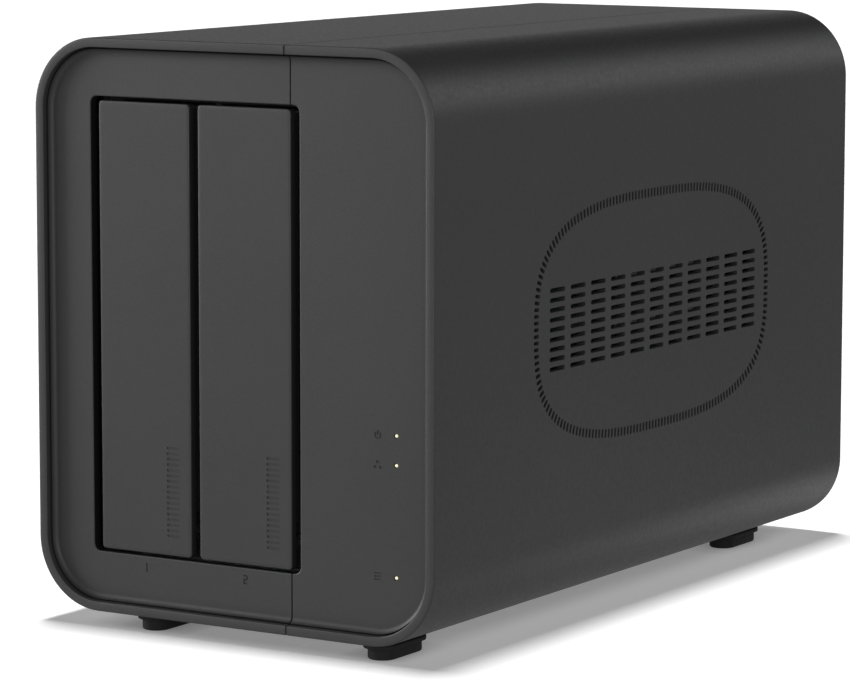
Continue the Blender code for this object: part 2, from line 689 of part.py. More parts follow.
def lever(name, cx):
    half = TRAY_WIDTH / 2
    front = rounded(cx, (TRAY_BOTTOM + TRAY_TOP) / 2, TRAY_WIDTH, TRAY_TOP - TRAY_BOTTOM, 0.7, steps=3)
    obj = add(name, prism("Y", front, PLATE_FRONT, LEVER_BACK), "tray", (cx, HINGE_Y, HINGE_Z))
    back = LEVER_BACK + 2.4
    inner = LEVER_BACK - 0.4
    for x in (cx - half + 0.5, cx + half - 1.7):
        fuse(obj, box(x, x + 1.2, inner, back, HINGE_Z + 5, TRAY_TOP - 1.0))
    fuse(obj, box(cx - half + 0.6, cx + half - 0.6, inner, back - 0.1, TRAY_TOP - 2.2, TRAY_TOP - 1.1))
    for x0, x1 in ((cx - 10.8, cx - 4.2), (cx + 4.2, cx + 10.8)):
        fuse(obj, box(x0, x1, inner, HINGE_Y, HINGE_Z - 1.8, HINGE_Z + 1.8))
        fuse(obj, rod("X", HINGE_Y, HINGE_Z, 2.2, x0 - 0.1, x1 + 0.1, 16))
    cut(obj, rod("X", HINGE_Y, HINGE_Z, PIN_HOLE_R, cx - 12, cx + 12, 12))


def spring(name, cx):
    """Torsion spring on the hinge pin, between the lever's two knuckles."""
    turns, per_turn, coil_r, wire = 4, 10, 1.75, 0.28
    points = []
    count = turns * per_turn
    for k in range(count + 1):
        a = 2 * math.pi * k / per_turn
        x = cx - 3.0 + 6.0 * k / count
        points.append((x, HINGE_Y + coil_r * math.cos(a), HINGE_Z + coil_r * math.sin(a)))
    curve = bpy.data.curves.new(name, "CURVE")
    curve.dimensions = "3D"
    curve.bevel_depth = wire * MM
    curve.bevel_resolution = 0
    curve.use_fill_caps = True
    spline = curve.splines.new("POLY")
    spline.points.add(len(points) - 1)
    for slot, point in zip(spline.points, points):
        slot.co = (*(Vector(point) * MM), 1)
    curve.materials.append(material("steel"))
    bpy.context.scene.collection.objects.link(bpy.data.objects.new(name, curve))


def hard_drive(name, cx):
    x0 = cx - CARRIER_HALF + SIDE_PLATE + GAP
    x1 = x0 + DRIVE[0]
    y0, y1 = DRIVE_FRONT, DRIVE_FRONT + DRIVE[1]
    z0, z1 = DRIVE_BOTTOM, DRIVE_BOTTOM + DRIVE[2]
    body = rounded((y0 + y1) / 2, (z0 + z1) / 2, DRIVE[1], DRIVE[2], 3.0, steps=3)
    lid = rounded((y0 + y1) / 2, (z0 + z1) / 2, DRIVE[1] - 4, DRIVE[2] - 4, 4.0, steps=3)
    drive = add(name, loft("X", [(x0, body), (x1 - 1.2, body), (x1 - 1.2, lid), (x1, lid)]), "aluminium")
    cut(drive, box(cx - 11.4, cx - 5.6, y1 - 6, y1 + 1, 60, 105))


def main():
    clear_scene()
    main_housing()
    side_cover()
    feet()
    rear_panel()
    screws()
    fan()
    power_button()
    sockets()
    main_board()
    backplane()
    indicators()
    drive_cage()
    bay_guides()
    for name, cx in TRAY_X.items():
        tray(name, cx)


main()
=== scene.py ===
"""Looks of an upright two-bay network storage unit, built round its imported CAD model.

Lengths are millimetres unless a name ends in _M; MM turns them into Blender's metres.
The front faces -Y, +Z is up, and every place is worked out from the CAD nodes' boxes.
"""

import math

import bmesh
import bpy
from mathutils import Matrix, Vector


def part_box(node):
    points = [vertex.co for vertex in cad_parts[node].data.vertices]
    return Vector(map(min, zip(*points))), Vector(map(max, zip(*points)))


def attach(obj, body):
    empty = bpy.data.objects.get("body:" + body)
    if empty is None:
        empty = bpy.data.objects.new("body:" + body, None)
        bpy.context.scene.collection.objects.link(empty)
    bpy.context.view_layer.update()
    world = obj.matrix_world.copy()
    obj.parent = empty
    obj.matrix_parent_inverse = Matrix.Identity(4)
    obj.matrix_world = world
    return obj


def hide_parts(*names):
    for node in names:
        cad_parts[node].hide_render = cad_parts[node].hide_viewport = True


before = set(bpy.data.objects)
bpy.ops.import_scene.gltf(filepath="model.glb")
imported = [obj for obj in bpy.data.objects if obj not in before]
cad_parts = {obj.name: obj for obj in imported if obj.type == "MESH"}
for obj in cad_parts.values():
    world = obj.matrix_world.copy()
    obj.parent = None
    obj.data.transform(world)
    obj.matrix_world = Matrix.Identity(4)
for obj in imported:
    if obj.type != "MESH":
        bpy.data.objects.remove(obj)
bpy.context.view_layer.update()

MM = 0.001
SHARP_FROM = 35  # degrees between faces


def box_mm(node):
    low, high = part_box(node)
    return Vector(low) / MM, Vector(high) / MM


# ---------------------------------------------------------------- sizes taken from the frame
HOUSING = box_mm("main_housing")
COVER = box_mm("side_cover")
LEVERS = {1: box_mm("tray_1_lever"), 2: box_mm("tray_2_lever")}
LEFT, RIGHT = HOUSING[0].x, COVER[1].x
FRONT, REAR = HOUSING[0].y, HOUSING[1].y
BASE, TOP = HOUSING[0].z, HOUSING[1].z
WIDTH, HEIGHT = RIGHT - LEFT, TOP - BASE
MID_Z = (BASE + TOP) / 2
CORNER_R = 18.2
WALL = 2.4
PLATE_FRONT = LEVERS[1][0].y
PLATE_BACK = PLATE_FRONT + 2.5
SEAM_HALF_GAP = (COVER[0].x - HOUSING[1].x) / 2
SEAM_X = (COVER[0].x + HOUSING[1].x) / 2

TRAY_GAP = LEVERS[2][0].x - LEVERS[1][1].x
BAY = (LEVERS[1][0].x - TRAY_GAP, LEVERS[1][0].z - 0.9, LEVERS[2][1].x + TRAY_GAP, LEVERS[1][1].z + 1.1)
BAY_R = 1.9

PANEL = box_mm("rear_panel")
FAN = box_mm("fan_frame")
FAN_CENTRE = ((FAN[0].x + FAN[1].x) / 2, (FAN[0].z + FAN[1].z) / 2)
FAN_BORE_R = 38.4
FAN_BLADES = 7
THUMB_SCREWS = ("thumb_screw_1", "thumb_screw_2")

# the oval of slots in the right wall, and the grid inside it
VENT_HALF = (62.5, 30.7)
VENT_POWER = 3.0
VENT_SLOTS = 190
VENT_SLOT = (0.85, 2.4)
BAND_GRID = (11, 9)
BAND_SLOT = (7.6, 1.1)
BAND_PITCH = (10.4, 2.5)

LIGHTS = [(box_mm(f"light_pipe_{k}")[0] + box_mm(f"light_pipe_{k}")[1]) / 2 for k in (1, 2, 3)]
LIGHT_HOLE_R = 0.6
LENS_R = 0.42
ICON_OFFSET = 5.2
ICON_DEPTH = 0.12
NUMERAL_DROP = 3.8
NUMERAL_DEPTH = 0.2

# the column of sunk bars on each tray
BAR = (3.9, 0.7)
BAR_PITCH = 1.4
BAR_COUNT = 17
BAR_DEPTH = 0.15


# ---------------------------------------------------------------- outlines
def arc(u, v, radius_u, radius_v, start, end, steps):
    """Points of an elliptical arc, in degrees."""
    turns = [math.radians(start + (end - start) * k / steps) for k in range(steps + 1)]
    return [(u + radius_u * math.cos(t), v + radius_v * math.sin(t)) for t in turns]


def rounded(u, v, width, height, radius, steps=6, margin=0.0):
    """Anticlockwise rectangle with round corners. A margin adds points on the flats beside each corner."""
    points = []
    for k, (su, sv) in enumerate(((1, 1), (-1, 1), (-1, -1), (1, -1))):
        cu = u + su * (width / 2 - radius)
        cv = v + sv * (height / 2 - radius)
        corner = arc(cu, cv, radius, radius, 90 * k, 90 * k + 90, steps)
        if margin:
            before = Vector((math.sin(math.radians(90 * k)), -math.cos(math.radians(90 * k)))) * margin
            after = Vector((-math.cos(math.radians(90 * k)), -math.sin(math.radians(90 * k)))) * margin
            corner.insert(0, tuple(Vector(corner[0]) + before))
            corner.append(tuple(Vector(corner[-1]) + after))
        points += corner
    return points


def circle(u, v, radius, sides=24):
    return arc(u, v, radius, radius, 0, 360 - 360 / sides, sides - 1)


def between(box, radius, steps=6):
    """Rounded outline of a (low u, low v, high u, high v) box."""
    u0, v0, u1, v1 = box
    return rounded((u0 + u1) / 2, (v0 + v1) / 2, u1 - u0, v1 - v0, radius, steps)


def grow(outline, by):
    """Moves each point of an anticlockwise outline outwards."""
    count = len(outline)
    grown = []
    for k in range(count):
        a, b, c = (Vector(outline[(k + n) % count]) for n in (-1, 0, 1))
        one, two = (b - a).normalized(), (c - b).normalized()
        out = Vector((one.y + two.y, -one.x - two.x))
        scale = by * 2 / max(out.length_squared, 0.5)
        grown.append(tuple(b + out * scale))
    return grown


def slot_outline(centre, along, length, width, steps=3):
    """A slot with round ends, its long side along a unit vector."""
    along, centre = Vector(along), Vector(centre)
    side = Vector((-along.y, along.x))
    radius = width / 2
    points = []
    for end in (1, -1):
        middle = centre + along * end * (length / 2 - radius)
        for k in range(steps + 1):
            t = math.radians(-90 + 180 * k / steps)
            points.append(tuple(middle + end * (along * math.cos(t) + side * math.sin(t)) * radius))
    return points


# ---------------------------------------------------------------- mesh building
def at(axis, u, v, w):
    return {"X": (w, u, v), "Y": (u, w, v), "Z": (u, v, w)}[axis]


def ring(bm, axis, outline, w):
    return [bm.verts.new(at(axis, u, v, w)) for u, v in outline]


def bridge(bm, one, two, slot=0):
    count = len(one)
    for k in range(count):
        n = (k + 1) % count
        bm.faces.new((one[k], one[n], two[n], two[k])).material_index = slot


def skin(bm, axis, sections):
    """Joins rings made from (position, outline) sections and gives back the first and last ring."""
    rings = [ring(bm, axis, outline, w) for w, outline in sections]
    for one, two in zip(rings, rings[1:]):
        bridge(bm, one, two)
    return rings[0], rings[-1]


def edges_round(loop):
    found = []
    for k, vert in enumerate(loop):
        other = loop[(k + 1) % len(loop)]
        found += [e for e in vert.link_edges if e.other_vert(vert) is other][:1]
    return found


def fill(bm, loops, slot=0):
    """Fills the flat region between an outer loop of vertices and the holes inside it."""
    edges = []
    for loop in loops:
        present = edges_round(loop)
        if len(present) < len(loop):
            pairs = zip(loop, loop[1:] + loop[:1])
            present = [bm.edges.get(pair) or bm.edges.new(pair) for pair in pairs]
        edges += present
    made = bmesh.ops.triangle_fill(bm, use_beauty=True, edges=edges)
    for face in made["geom"]:
        if isinstance(face, bmesh.types.BMFace):
            face.material_index = slot


def solid(axis, sections):
    """A closed lofted body."""
    bm = bmesh.new()
    first, last = skin(bm, axis, sections)
    bm.faces.new(first)
    bm.faces.new(last)
    bmesh.ops.recalc_face_normals(bm, faces=bm.faces)
    return bm


def softened(axis, outline_at, start, end, edge, steps=3):
    """A lofted body whose two end edges are rounded; outline_at gives the outline at an inset."""
    sections = []
    for k in range(steps + 1):
        t = math.radians(90 * k / steps)
        sections.append((start + edge * (1 - math.sin(t)), outline_at(edge * (1 - math.cos(t)))))
    far_sections = [(start + end - w, outline) for w, outline in sections]
    return solid(axis, sections[::-1] + far_sections)


def block(x0, x1, y0, y1, z0, z1, edge=0.3):
    """A block with every edge rounded off."""
    bm = bmesh.new()
    bmesh.ops.create_cube(bm, size=1)
    middle = Vector(((x0 + x1) / 2, (y0 + y1) / 2, (z0 + z1) / 2))
    for vert in bm.verts:
        size = Vector((x1 - x0, y1 - y0, z1 - z0))
        vert.co = middle + Vector(a * b for a, b in zip(vert.co, size))
    bmesh.ops.bevel(bm, geom=list(bm.edges), offset=edge, segments=3, profile=0.5, affect="EDGES")
    return bm


def turned(axis, u, v, profile, sides):
    """A solid of revolution through (position, radius) pairs."""
    return solid(axis, [(w, circle(u, v, radius, sides)) for w, radius in profile])


def together(shapes):
    whole = bmesh.new()
    for shape in shapes:
        mesh = bpy.data.meshes.new("part")
        shape.to_mesh(mesh)
        shape.free()
        whole.from_mesh(mesh)
        bpy.data.meshes.remove(mesh)
    return whole


def sheet(axis, outline, holes, start, end, edge=0.15):
    """A flat sheet with softened edges, and holes through it."""
    bm = bmesh.new()
    firsts, lasts = [], []
    for k, loop in enumerate([outline, *holes]):
        mouth = grow(loop, edge if k else -edge)
        one, two = skin(bm, axis, [(start, mouth), (start + edge, loop), (end - edge, loop), (end, mouth)])
        firsts.append(one)
        lasts.append(two)
    fill(bm, firsts)
    fill(bm, lasts)
    bmesh.ops.recalc_face_normals(bm, faces=bm.faces)
    return bm


def tinted(bm, slot):
    """Gives every face of a shape one of its piece's finishes."""
    for face in bm.faces:
        face.material_index = slot
    return bm


def piece(name, bm, finishes, body, replaces=()):
    """Makes the object of a shape in millimetres, hangs it under the empty of the body it rides on, and
    hides the CAD nodes it replaces.
    """
    bm.transform(Matrix.Scale(MM, 4))
    mesh = bpy.data.meshes.new(name)
    bm.to_mesh(mesh)
    bm.free()
    obj = bpy.data.objects.new(name, mesh)
    bpy.context.scene.collection.objects.link(obj)
    for finish in finishes if isinstance(finishes, (list, tuple)) else [finishes]:
        mesh.materials.append(finish)
    mesh.shade_smooth()
    mesh.set_sharp_from_angle(angle=math.radians(SHARP_FROM))
    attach(obj, body)
    if replaces:
        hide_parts(*replaces)
    return obj


# ---------------------------------------------------------------- materials
class Nodes:
    """A short way to write a material's node tree."""
    def __init__(self, name):
        self.material = bpy.data.materials.new(name)
        self.material.use_nodes = True
        self.tree = self.material.node_tree
        self.shader = self.tree.nodes["Principled BSDF"]
        self.place = self.add("ShaderNodeTexCoord").outputs["Object"]

    def add(self, kind, **settings):
        node = self.tree.nodes.new(kind)
        for key, value in settings.items():
            setattr(node, key, value)
        return node

    def link(self, source, target):
        self.tree.links.new(source, target)

    def noise(self, size_mm, detail=2.0, stretch=(1, 1, 1)):
        """Noise whose features are about size_mm across."""
        mapping = self.add("ShaderNodeMapping")
        mapping.inputs["Scale"].default_value = stretch
        self.link(self.place, mapping.inputs["Vector"])
        node = self.add("ShaderNodeTexNoise")
        node.inputs["Scale"].default_value = 1 / (size_mm * MM)
        node.inputs["Detail"].default_value = detail
        self.link(mapping.outputs["Vector"], node.inputs["Vector"])
        return node.outputs["Fac"]

    def spread(self, value, low, high, start=0.3, end=0.7):
        node = self.add("ShaderNodeMapRange")
        node.inputs["From Min"].default_value = start
        node.inputs["From Max"].default_value = end
        node.inputs["To Min"].default_value = low
        node.inputs["To Max"].default_value = high
        self.link(value, node.inputs["Value"])
        return node.outputs["Result"]

    def mix(self, factor, one, two):
        node = self.add("ShaderNodeMix", data_type="RGBA")
        self.link(factor, node.inputs["Factor"])
        for socket, value in zip(node.inputs[6:8], (one, two)):
            if isinstance(value, tuple):
                socket.default_value = (*value, 1.0)
            else:
                self.link(value, socket)
        return node.outputs[2]

    def blend(self, factor, number, value):
        """A plain number where the factor is zero, and a varying value where it is one."""
        node = self.add("ShaderNodeMix")
        self.link(factor, node.inputs[0])
        node.inputs[2].default_value = number
        self.link(value, node.inputs[3])
        return node.outputs[0]

    def bump(self, height, depth_mm):
        node = self.add("ShaderNodeBump")
        node.inputs["Distance"].default_value = depth_mm * MM
        node.inputs["Strength"].default_value = 1.0
        self.link(height, node.inputs["Height"])
        return node.outputs["Normal"]

    def edges(self, radius_mm):
        """One on convex and concave edges, zero on the flats."""
        rounder = self.add("ShaderNodeBevel", samples=4)
        rounder.inputs["Radius"].default_value = radius_mm * MM
        true_normal = self.add("ShaderNodeNewGeometry").outputs["Normal"]
        dot = self.add("ShaderNodeVectorMath", operation="DOT_PRODUCT")
        self.link(rounder.outputs["Normal"], dot.inputs[0])
        self.link(true_normal, dot.inputs[1])
        return self.spread(dot.outputs["Value"], 1.0, 0.0, 0.75, 0.99)

    def set(self, socket, value):
        if isinstance(value, bpy.types.NodeSocket):
            self.link(value, self.shader.inputs[socket])
        elif isinstance(value, tuple):
            self.shader.inputs[socket].default_value = (*value, 1.0)
        else:
            self.shader.inputs[socket].default_value = value


HOLLOW_ROUGHNESS = 0.9


def shade(colour, factor):
    return tuple(c * factor for c in colour)


def moulded(
    name, colour, roughness, grain=0.35, depth=0.03, mottle=0.07, wear=0.0, specular=0.5, painted_shade_reach=0.0,
):
    """Spark-textured plastic: fine grain, slow changes of tone, worn edges, and painted shade in hollows,
    where the surface is also made rougher.

    grain and depth are lengths, as is the reach of the painted shade: how far from a wall ambient occlusion
    darkens the colour.
    """
    n = Nodes(name)
    tone = n.spread(n.noise(40, 3), 0, 1)
    body = n.mix(tone, shade(colour, 1 - mottle), shade(colour, 1 + mottle))
    speck = n.spread(n.noise(grain, 2), 0, 1, 0.35, 0.65)
    body = n.mix(n.spread(speck, 0, 0.5, 0, 1), body, shade(colour, 1.35))
    if wear:
        worn = n.spread(n.edges(0.35), 0, wear, 0, 1)
        body = n.mix(worn, body, shade(colour, 2.2))
    gloss = n.spread(n.noise(grain * 2.5, 2), roughness - 0.05, roughness + 0.05)
    # painted shade: the base colour darkens to about a third where ambient occlusion finds nearby walls,
    # and the roughness rises there
    if painted_shade_reach:
        openness = n.add("ShaderNodeAmbientOcclusion", samples=4)
        openness.inputs["Distance"].default_value = painted_shade_reach * MM
        openness = n.spread(openness.outputs["AO"], 0, 1, 0.45, 1.0)
        body = n.mix(openness, shade(colour, 0.35), body)
        gloss = n.blend(openness, HOLLOW_ROUGHNESS, gloss)
    n.set("Base Color", body)
    n.set("Roughness", gloss)
    n.set("Specular IOR Level", specular)
    n.set("Normal", n.bump(n.noise(grain, 3), depth))
    return n.material


def metal(name, colour, roughness, stretch=(1, 1, 1), grain=0.5, depth=0.008):
    """Rolled, plated or cast metal with fine marks along one direction."""
    n = Nodes(name)
    streak = n.noise(grain, 4, stretch)
    tone = n.spread(n.noise(25, 3), 0, 1)
    body = n.mix(tone, shade(colour, 0.9), shade(colour, 1.08))
    n.set("Base Color", n.mix(n.spread(streak, 0, 0.35), body, shade(colour, 0.75)))
    n.set("Metallic", 1.0)
    n.set("Roughness", n.spread(streak, roughness - 0.07, roughness + 0.08))
    n.set("Normal", n.bump(streak, depth))
    return n.material


def circuit_board(name, colour):
    """Solder mask over copper tracks, with plated holes as pale dots."""
    n = Nodes(name)
    brick = n.add("ShaderNodeTexBrick", offset=0.37, squash=0.6, squash_frequency=3)
    brick.inputs["Scale"].default_value = 1.0
    brick.inputs["Mortar Size"].default_value = 0.00025
    brick.inputs["Brick Width"].default_value = 0.009
    brick.inputs["Row Height"].default_value = 0.0021
    turn = n.add("ShaderNodeMapping")
    turn.inputs["Rotation"].default_value = (math.pi / 2, 0, math.pi / 2)
    n.link(n.place, turn.inputs["Vector"])
    n.link(turn.outputs["Vector"], brick.inputs["Vector"])
    tracks = n.mix(brick.outputs["Fac"], colour, shade(colour, 1.9))
    dots = n.add("ShaderNodeTexVoronoi")
    dots.inputs["Scale"].default_value = 1 / 0.004
    n.link(n.place, dots.inputs["Vector"])
    holes = n.spread(dots.outputs["Distance"], 1, 0, 0.1, 0.13)
    n.set("Base Color", n.mix(holes, tracks, (0.55, 0.5, 0.32)))
    n.set("Roughness", n.spread(n.noise(3, 2), 0.3, 0.42))
    n.set("Normal", n.bump(brick.outputs["Fac"], 0.03))
    return n.material


def lamp(name, colour, strength):
    """A clear light guide, lit from behind and brightest in its middle."""
    n = Nodes(name)
    n.set("Base Color", n.mix(n.spread(n.noise(0.6), 0, 1), shade(colour, 0.85), colour))
    n.set("Emission Color", n.mix(n.spread(n.noise(0.9), 0, 1), shade(colour, 0.8), colour))
    n.set("Emission Strength", strength)
    n.set("Roughness", 0.25)
    return n.material


GREY = (0.036, 0.036, 0.0375)
# the shell carries painted shade in its hollows, reaching 3.2 mm from the walls
SHELL = moulded("shell_plastic", GREY, 0.5, grain=0.42, depth=0.035, wear=0.05, painted_shade_reach=3.2)
TRAY = moulded("tray_plastic", GREY, 0.47, grain=0.4, depth=0.025, wear=0.12)
# painted shade: the floors of the tray's sunk bars are coloured darker than the tray, standing in for the
# shade in them
SUNK_BAR_SHADE = moulded("tray_bars_painted_shade", shade(GREY, 0.72), 0.6, grain=0.4, depth=0.02)
CARRIER = moulded("carrier_plastic", (0.014, 0.014, 0.015), 0.6, grain=0.3, wear=0.2)
RUBBER = moulded("foot_rubber", (0.01, 0.01, 0.01), 0.8, grain=0.6, depth=0.05, mottle=0.2, specular=0.25)
# near-black finish: painted shade on the groove round the front plate and on the walls of its bay and light
# holes, and the black plastic inside the sockets
LINING_AND_SHADE = moulded("lining_and_painted_shade", (0.004, 0.004, 0.004), 0.8, grain=0.3, depth=0.02, specular=0.2)
BLACK = moulded("black_plastic", (0.013, 0.013, 0.014), 0.45, grain=0.3, depth=0.02, wear=0.25)
INK = moulded("marking", (0.02, 0.02, 0.021), 0.6, grain=0.2, depth=0.01)
PALE_INK = moulded("pale_marking", (0.25, 0.25, 0.26), 0.6, grain=0.2, depth=0.01)
PAINTED = moulded("painted_steel", (0.022, 0.022, 0.023), 0.42, grain=0.25, depth=0.03, wear=0.5)
CHIP = moulded("chip_package", (0.02, 0.02, 0.021), 0.5, grain=0.15, depth=0.02)
LABEL = moulded("blank_label", (0.72, 0.72, 0.7), 0.5, grain=0.3, depth=0.004, mottle=0.03)
WHITE = moulded("white_plastic", (0.6, 0.6, 0.58), 0.35, grain=0.3, depth=0.01)
BLUE = moulded("socket_blue", (0.02, 0.09, 0.4), 0.4, grain=0.25, depth=0.01)
STEEL = metal("zinc_steel", (0.55, 0.56, 0.58), 0.36, (1, 0.06, 1))
BOLT = metal("plated_screw", (0.42, 0.42, 0.43), 0.33, grain=0.3)
NICKEL = metal("nickel_shield", (0.62, 0.6, 0.56), 0.28, (0.2, 1, 1), grain=0.4)
ALUMINIUM = metal("aluminium", (0.72, 0.73, 0.75), 0.34, (1, 0.05, 1), grain=0.4)
CAST = metal("cast_aluminium", (0.6, 0.61, 0.63), 0.42, grain=1.2, depth=0.03)
GOLD = metal("gold_contact", (0.85, 0.62, 0.25), 0.25, grain=0.3)
BOARD = circuit_board("green_board", (0.012, 0.1, 0.045))
LENS = lamp("status_light", (0.93, 0.9, 0.62), 0.55)


# ---------------------------------------------------------------- enclosure
def body_outline(inset):
    return rounded(0, MID_Z, WIDTH - 2 * inset, HEIGHT - 2 * inset, CORNER_R - inset, steps=20, margin=0.5)


COVE = (2.9, 4.2)
GROOVE = (2.4, 2.9, 2.0)
FLAT_INSET = COVE[1] + 0.6


def shell_profile():
    """(inset, y) points from behind the front plate, round the rear and front rims, to the plate's flat."""
    rim, lip = 0.35, 0.2
    side = 0.4
    points = [(WALL, PLATE_BACK), (WALL, PLATE_BACK + side), (WALL, REAR - 1.0)]
    points += arc(WALL - side, REAR - side, side, side, 0, 90, 3)
    points += arc(rim, REAR - rim, rim, rim, 90, 180, 5)
    points += [(0, REAR - rim - side), (0, FRONT + rim + side)]
    points += arc(rim, FRONT + rim, rim, rim, 180, 270, 5)
    points += arc(GROOVE[0] - lip, FRONT + lip, lip, lip, 270, 360, 3)
    points += [(GROOVE[0], FRONT + GROOVE[2]), (GROOVE[1], FRONT + GROOVE[2])]
    cove = COVE[1] - COVE[0]
    points += arc(COVE[1], PLATE_FRONT - cove, cove, cove, 180, 90, 8)
    points.append((FLAT_INSET, PLATE_FRONT))
    return points


def through_hole(bm, axis, outline, start, end, edge=0.3, steps=3, shade_slot=0):
    """The wall of a hole with a rounded mouth at start; gives back its first and last ring."""
    sign = 1 if end > start else -1
    sections = [(start, grow(outline, edge + 0.12))]
    for k in range(steps + 1):
        t = math.radians(90 * k / steps)
        grown = edge * (1 - math.sin(t))
        sections.append((start + sign * edge * (1 - math.cos(t)), grow(outline, grown)))
    sections.append((end, outline))
    first, last = skin(bm, axis, sections)
    # painted shade: the hole's inner wall takes the near-black slot
    if shade_slot:
        for face in {f for vert in last for f in vert.link_faces}:
            face.material_index = shade_slot
    return first, last


def sunk_mark(bm, axis, outline, start, depth, slot):
    """A shallow recess whose floor may have another material; gives back its mouth."""
    mouth, floor = skin(bm, axis, [(start, outline), (start + depth, outline)])
    fill(bm, [floor], slot)
    return mouth


def numeral_outline(digit, x, z, height=2.3, width=1.24, stroke=0.36):
    """A plain bay number, 1 or 2."""
    low, high = z - height / 2, z + height / 2
    down, up = z - stroke / 2, z + stroke / 2
    if digit == 1:
        left, right = x - stroke / 2, x + stroke / 2
        return [(left, low), (right, low), (right, high), (left, high)]
    left, right = x - width / 2, x + width / 2
    inner_left, inner_right = left + stroke, right - stroke
    base, head = low + stroke, high - stroke
    lower = [(left, low), (right, low), (right, base), (inner_left, base), (inner_left, down)]
    upper = [(right, down), (right, high), (left, high), (left, head), (inner_right, head)]
    return [*lower, *upper, (inner_right, up), (left, up)]


def icon_outlines():
    """Plain symbols beside the status lights: a bar in an open ring, three boxes, and three bars."""
    x = LIGHTS[0].x - ICON_OFFSET
    z1, z2, z3 = (light.z for light in LIGHTS)
    stem = [(x - 0.18, z1 - 0.2), (x + 0.18, z1 - 0.2), (x + 0.18, z1 + 1.2), (x - 0.18, z1 + 1.2)]
    bowl = arc(x, z1 - 0.1, 1.0, 1.0, 130, 410, 14) + arc(x, z1 - 0.1, 0.65, 0.65, 410, 130, 14)
    square = rounded(x, z2 + 0.6, 1.0, 0.8, 0.15, 2)
    feet = [rounded(x + s, z2 - 0.7, 0.8, 0.7, 0.15, 2) for s in (-0.75, 0.75)]
    bars = [rounded(x, z3 + s, 2.1, 0.42, 0.2, 3) for s in (-0.8, 0.0, 0.8)]
    return [stem, bowl, square, *feet, *bars]


def oval_point(turn):
    c, s = math.cos(turn), math.sin(turn)
    power = 2 / VENT_POWER
    return Vector((
        VENT_HALF[0] * math.copysign(abs(c) ** power, c),
        VENT_HALF[1] * math.copysign(abs(s) ** power, s),
    ))


def vent_outlines():
    """Outlines, in Y and Z, of every slot in the right wall."""
    fine = [oval_point(2 * math.pi * k / 4000) for k in range(4001)]
    along = [0.0]
    for a, b in zip(fine, fine[1:]):
        along.append(along[-1] + (b - a).length)
    centre = Vector((0, MID_Z))
    outlines, k = [], 0
    for n in range(VENT_SLOTS):
        target = along[-1] * (n + 0.5) / VENT_SLOTS
        while along[k + 1] < target:
            k += 1
        step = fine[k + 1] - fine[k]
        place = fine[k] + step * ((target - along[k]) / step.length)
        out = Vector((step.y, -step.x)).normalized()
        outlines.append(slot_outline(centre + place, out, VENT_SLOT[1], VENT_SLOT[0]))
    columns, rows = BAND_GRID
    for row in range(rows):
        for column in range(columns):
            across = (column - (columns - 1) / 2) * BAND_PITCH[0]
            up = (row - (rows - 1) / 2) * BAND_PITCH[1]
            outlines.append(slot_outline(centre + Vector((across, up)), (1, 0), *BAND_SLOT, steps=4))
    return outlines


def whole_shell():
    """Both mouldings as one closed body: walls, rims, cove and the plate with its holes."""
    bm = bmesh.new()
    profile = shell_profile()
    behind, front = skin(bm, "Y", [(y, body_outline(inset)) for inset, y in profile])
    # painted shade: the groove's floor and inner wall take the near-black third finish, standing in for the
    # shadow in the gap
    groove = profile.index((GROOVE[0], FRONT + GROOVE[2])) * len(front)
    for face in list(bm.faces)[groove:groove + 2 * len(front)]:
        face.material_index = 2
    fronts, backs = [front], [behind]
    holes = [(between(BAY, BAY_R, 6), 0.25)]
    holes += [(circle(light.x, light.z, LIGHT_HOLE_R, 16), 0.08) for light in LIGHTS]
    for outline, edge in holes:
        # painted shade: the walls of the bay window and light holes get the near-black third finish
        mouth, end = through_hole(bm, "Y", outline, PLATE_FRONT, PLATE_BACK, edge, shade_slot=2)
        fronts.append(mouth)
        backs.append(end)
    for tray, (low, high) in LEVERS.items():
        outline = numeral_outline(tray, (low.x + high.x) / 2, LEVERS[1][0].z - NUMERAL_DROP)
        fronts.append(sunk_mark(bm, "Y", outline, PLATE_FRONT, NUMERAL_DEPTH, 1))
    fronts += [sunk_mark(bm, "Y", outline, PLATE_FRONT, ICON_DEPTH, 1) for outline in icon_outlines()]
    fill(bm, fronts)
    fill(bm, backs)
    return bm


def pierce_right_wall(bm):
    """Opens the vent slots in the two big flat faces of the right wall."""
    walls = []
    for x in (RIGHT, RIGHT - WALL):
        faces = [f for f in bm.faces if all(abs(v.co.x - x) < 1e-3 for v in f.verts)]
        walls.append(max(faces, key=lambda f: f.calc_area()))
    loops = [[loop.vert for loop in wall.loops] for wall in walls]
    bmesh.ops.delete(bm, geom=walls, context="FACES_ONLY")
    outer, inner = [loops[0]], [loops[1]]
    for outline in vent_outlines():
        mouth, end = through_hole(bm, "X", outline, RIGHT, RIGHT - WALL, 0.12, 1)
        outer.append(mouth)
        inner.append(end)
    fill(bm, outer)
    fill(bm, inner)


def half_of(bm, side):
    """Keeps the part left (-1) or right (1) of the seam, with a fine chamfer along it."""
    chamfer = 0.12
    seam = SEAM_X + side * SEAM_HALF_GAP
    everything = bm.verts[:] + bm.edges[:] + bm.faces[:]
    bmesh.ops.bisect_plane(bm, geom=everything, plane_co=(seam + side * chamfer, 0, 0), plane_no=(1, 0, 0))
    everything = bm.verts[:] + bm.edges[:] + bm.faces[:]
    bmesh.ops.bisect_plane(
        bm, geom=everything, plane_co=(seam, 0, 0), plane_no=(-side, 0, 0), clear_outer=True,
    )
    bm.normal_update()
    edge_verts = [v for v in bm.verts if v.is_boundary]
    for vert in edge_verts:
        inward = vert.normal.copy()
        inward.x = 0
        vert.co -= inward * chamfer
    open_edges = [e for e in bm.edges if e.is_boundary]
    bmesh.ops.triangle_fill(bm, use_beauty=True, edges=open_edges)
    bmesh.ops.recalc_face_normals(bm, faces=bm.faces)
    return bm


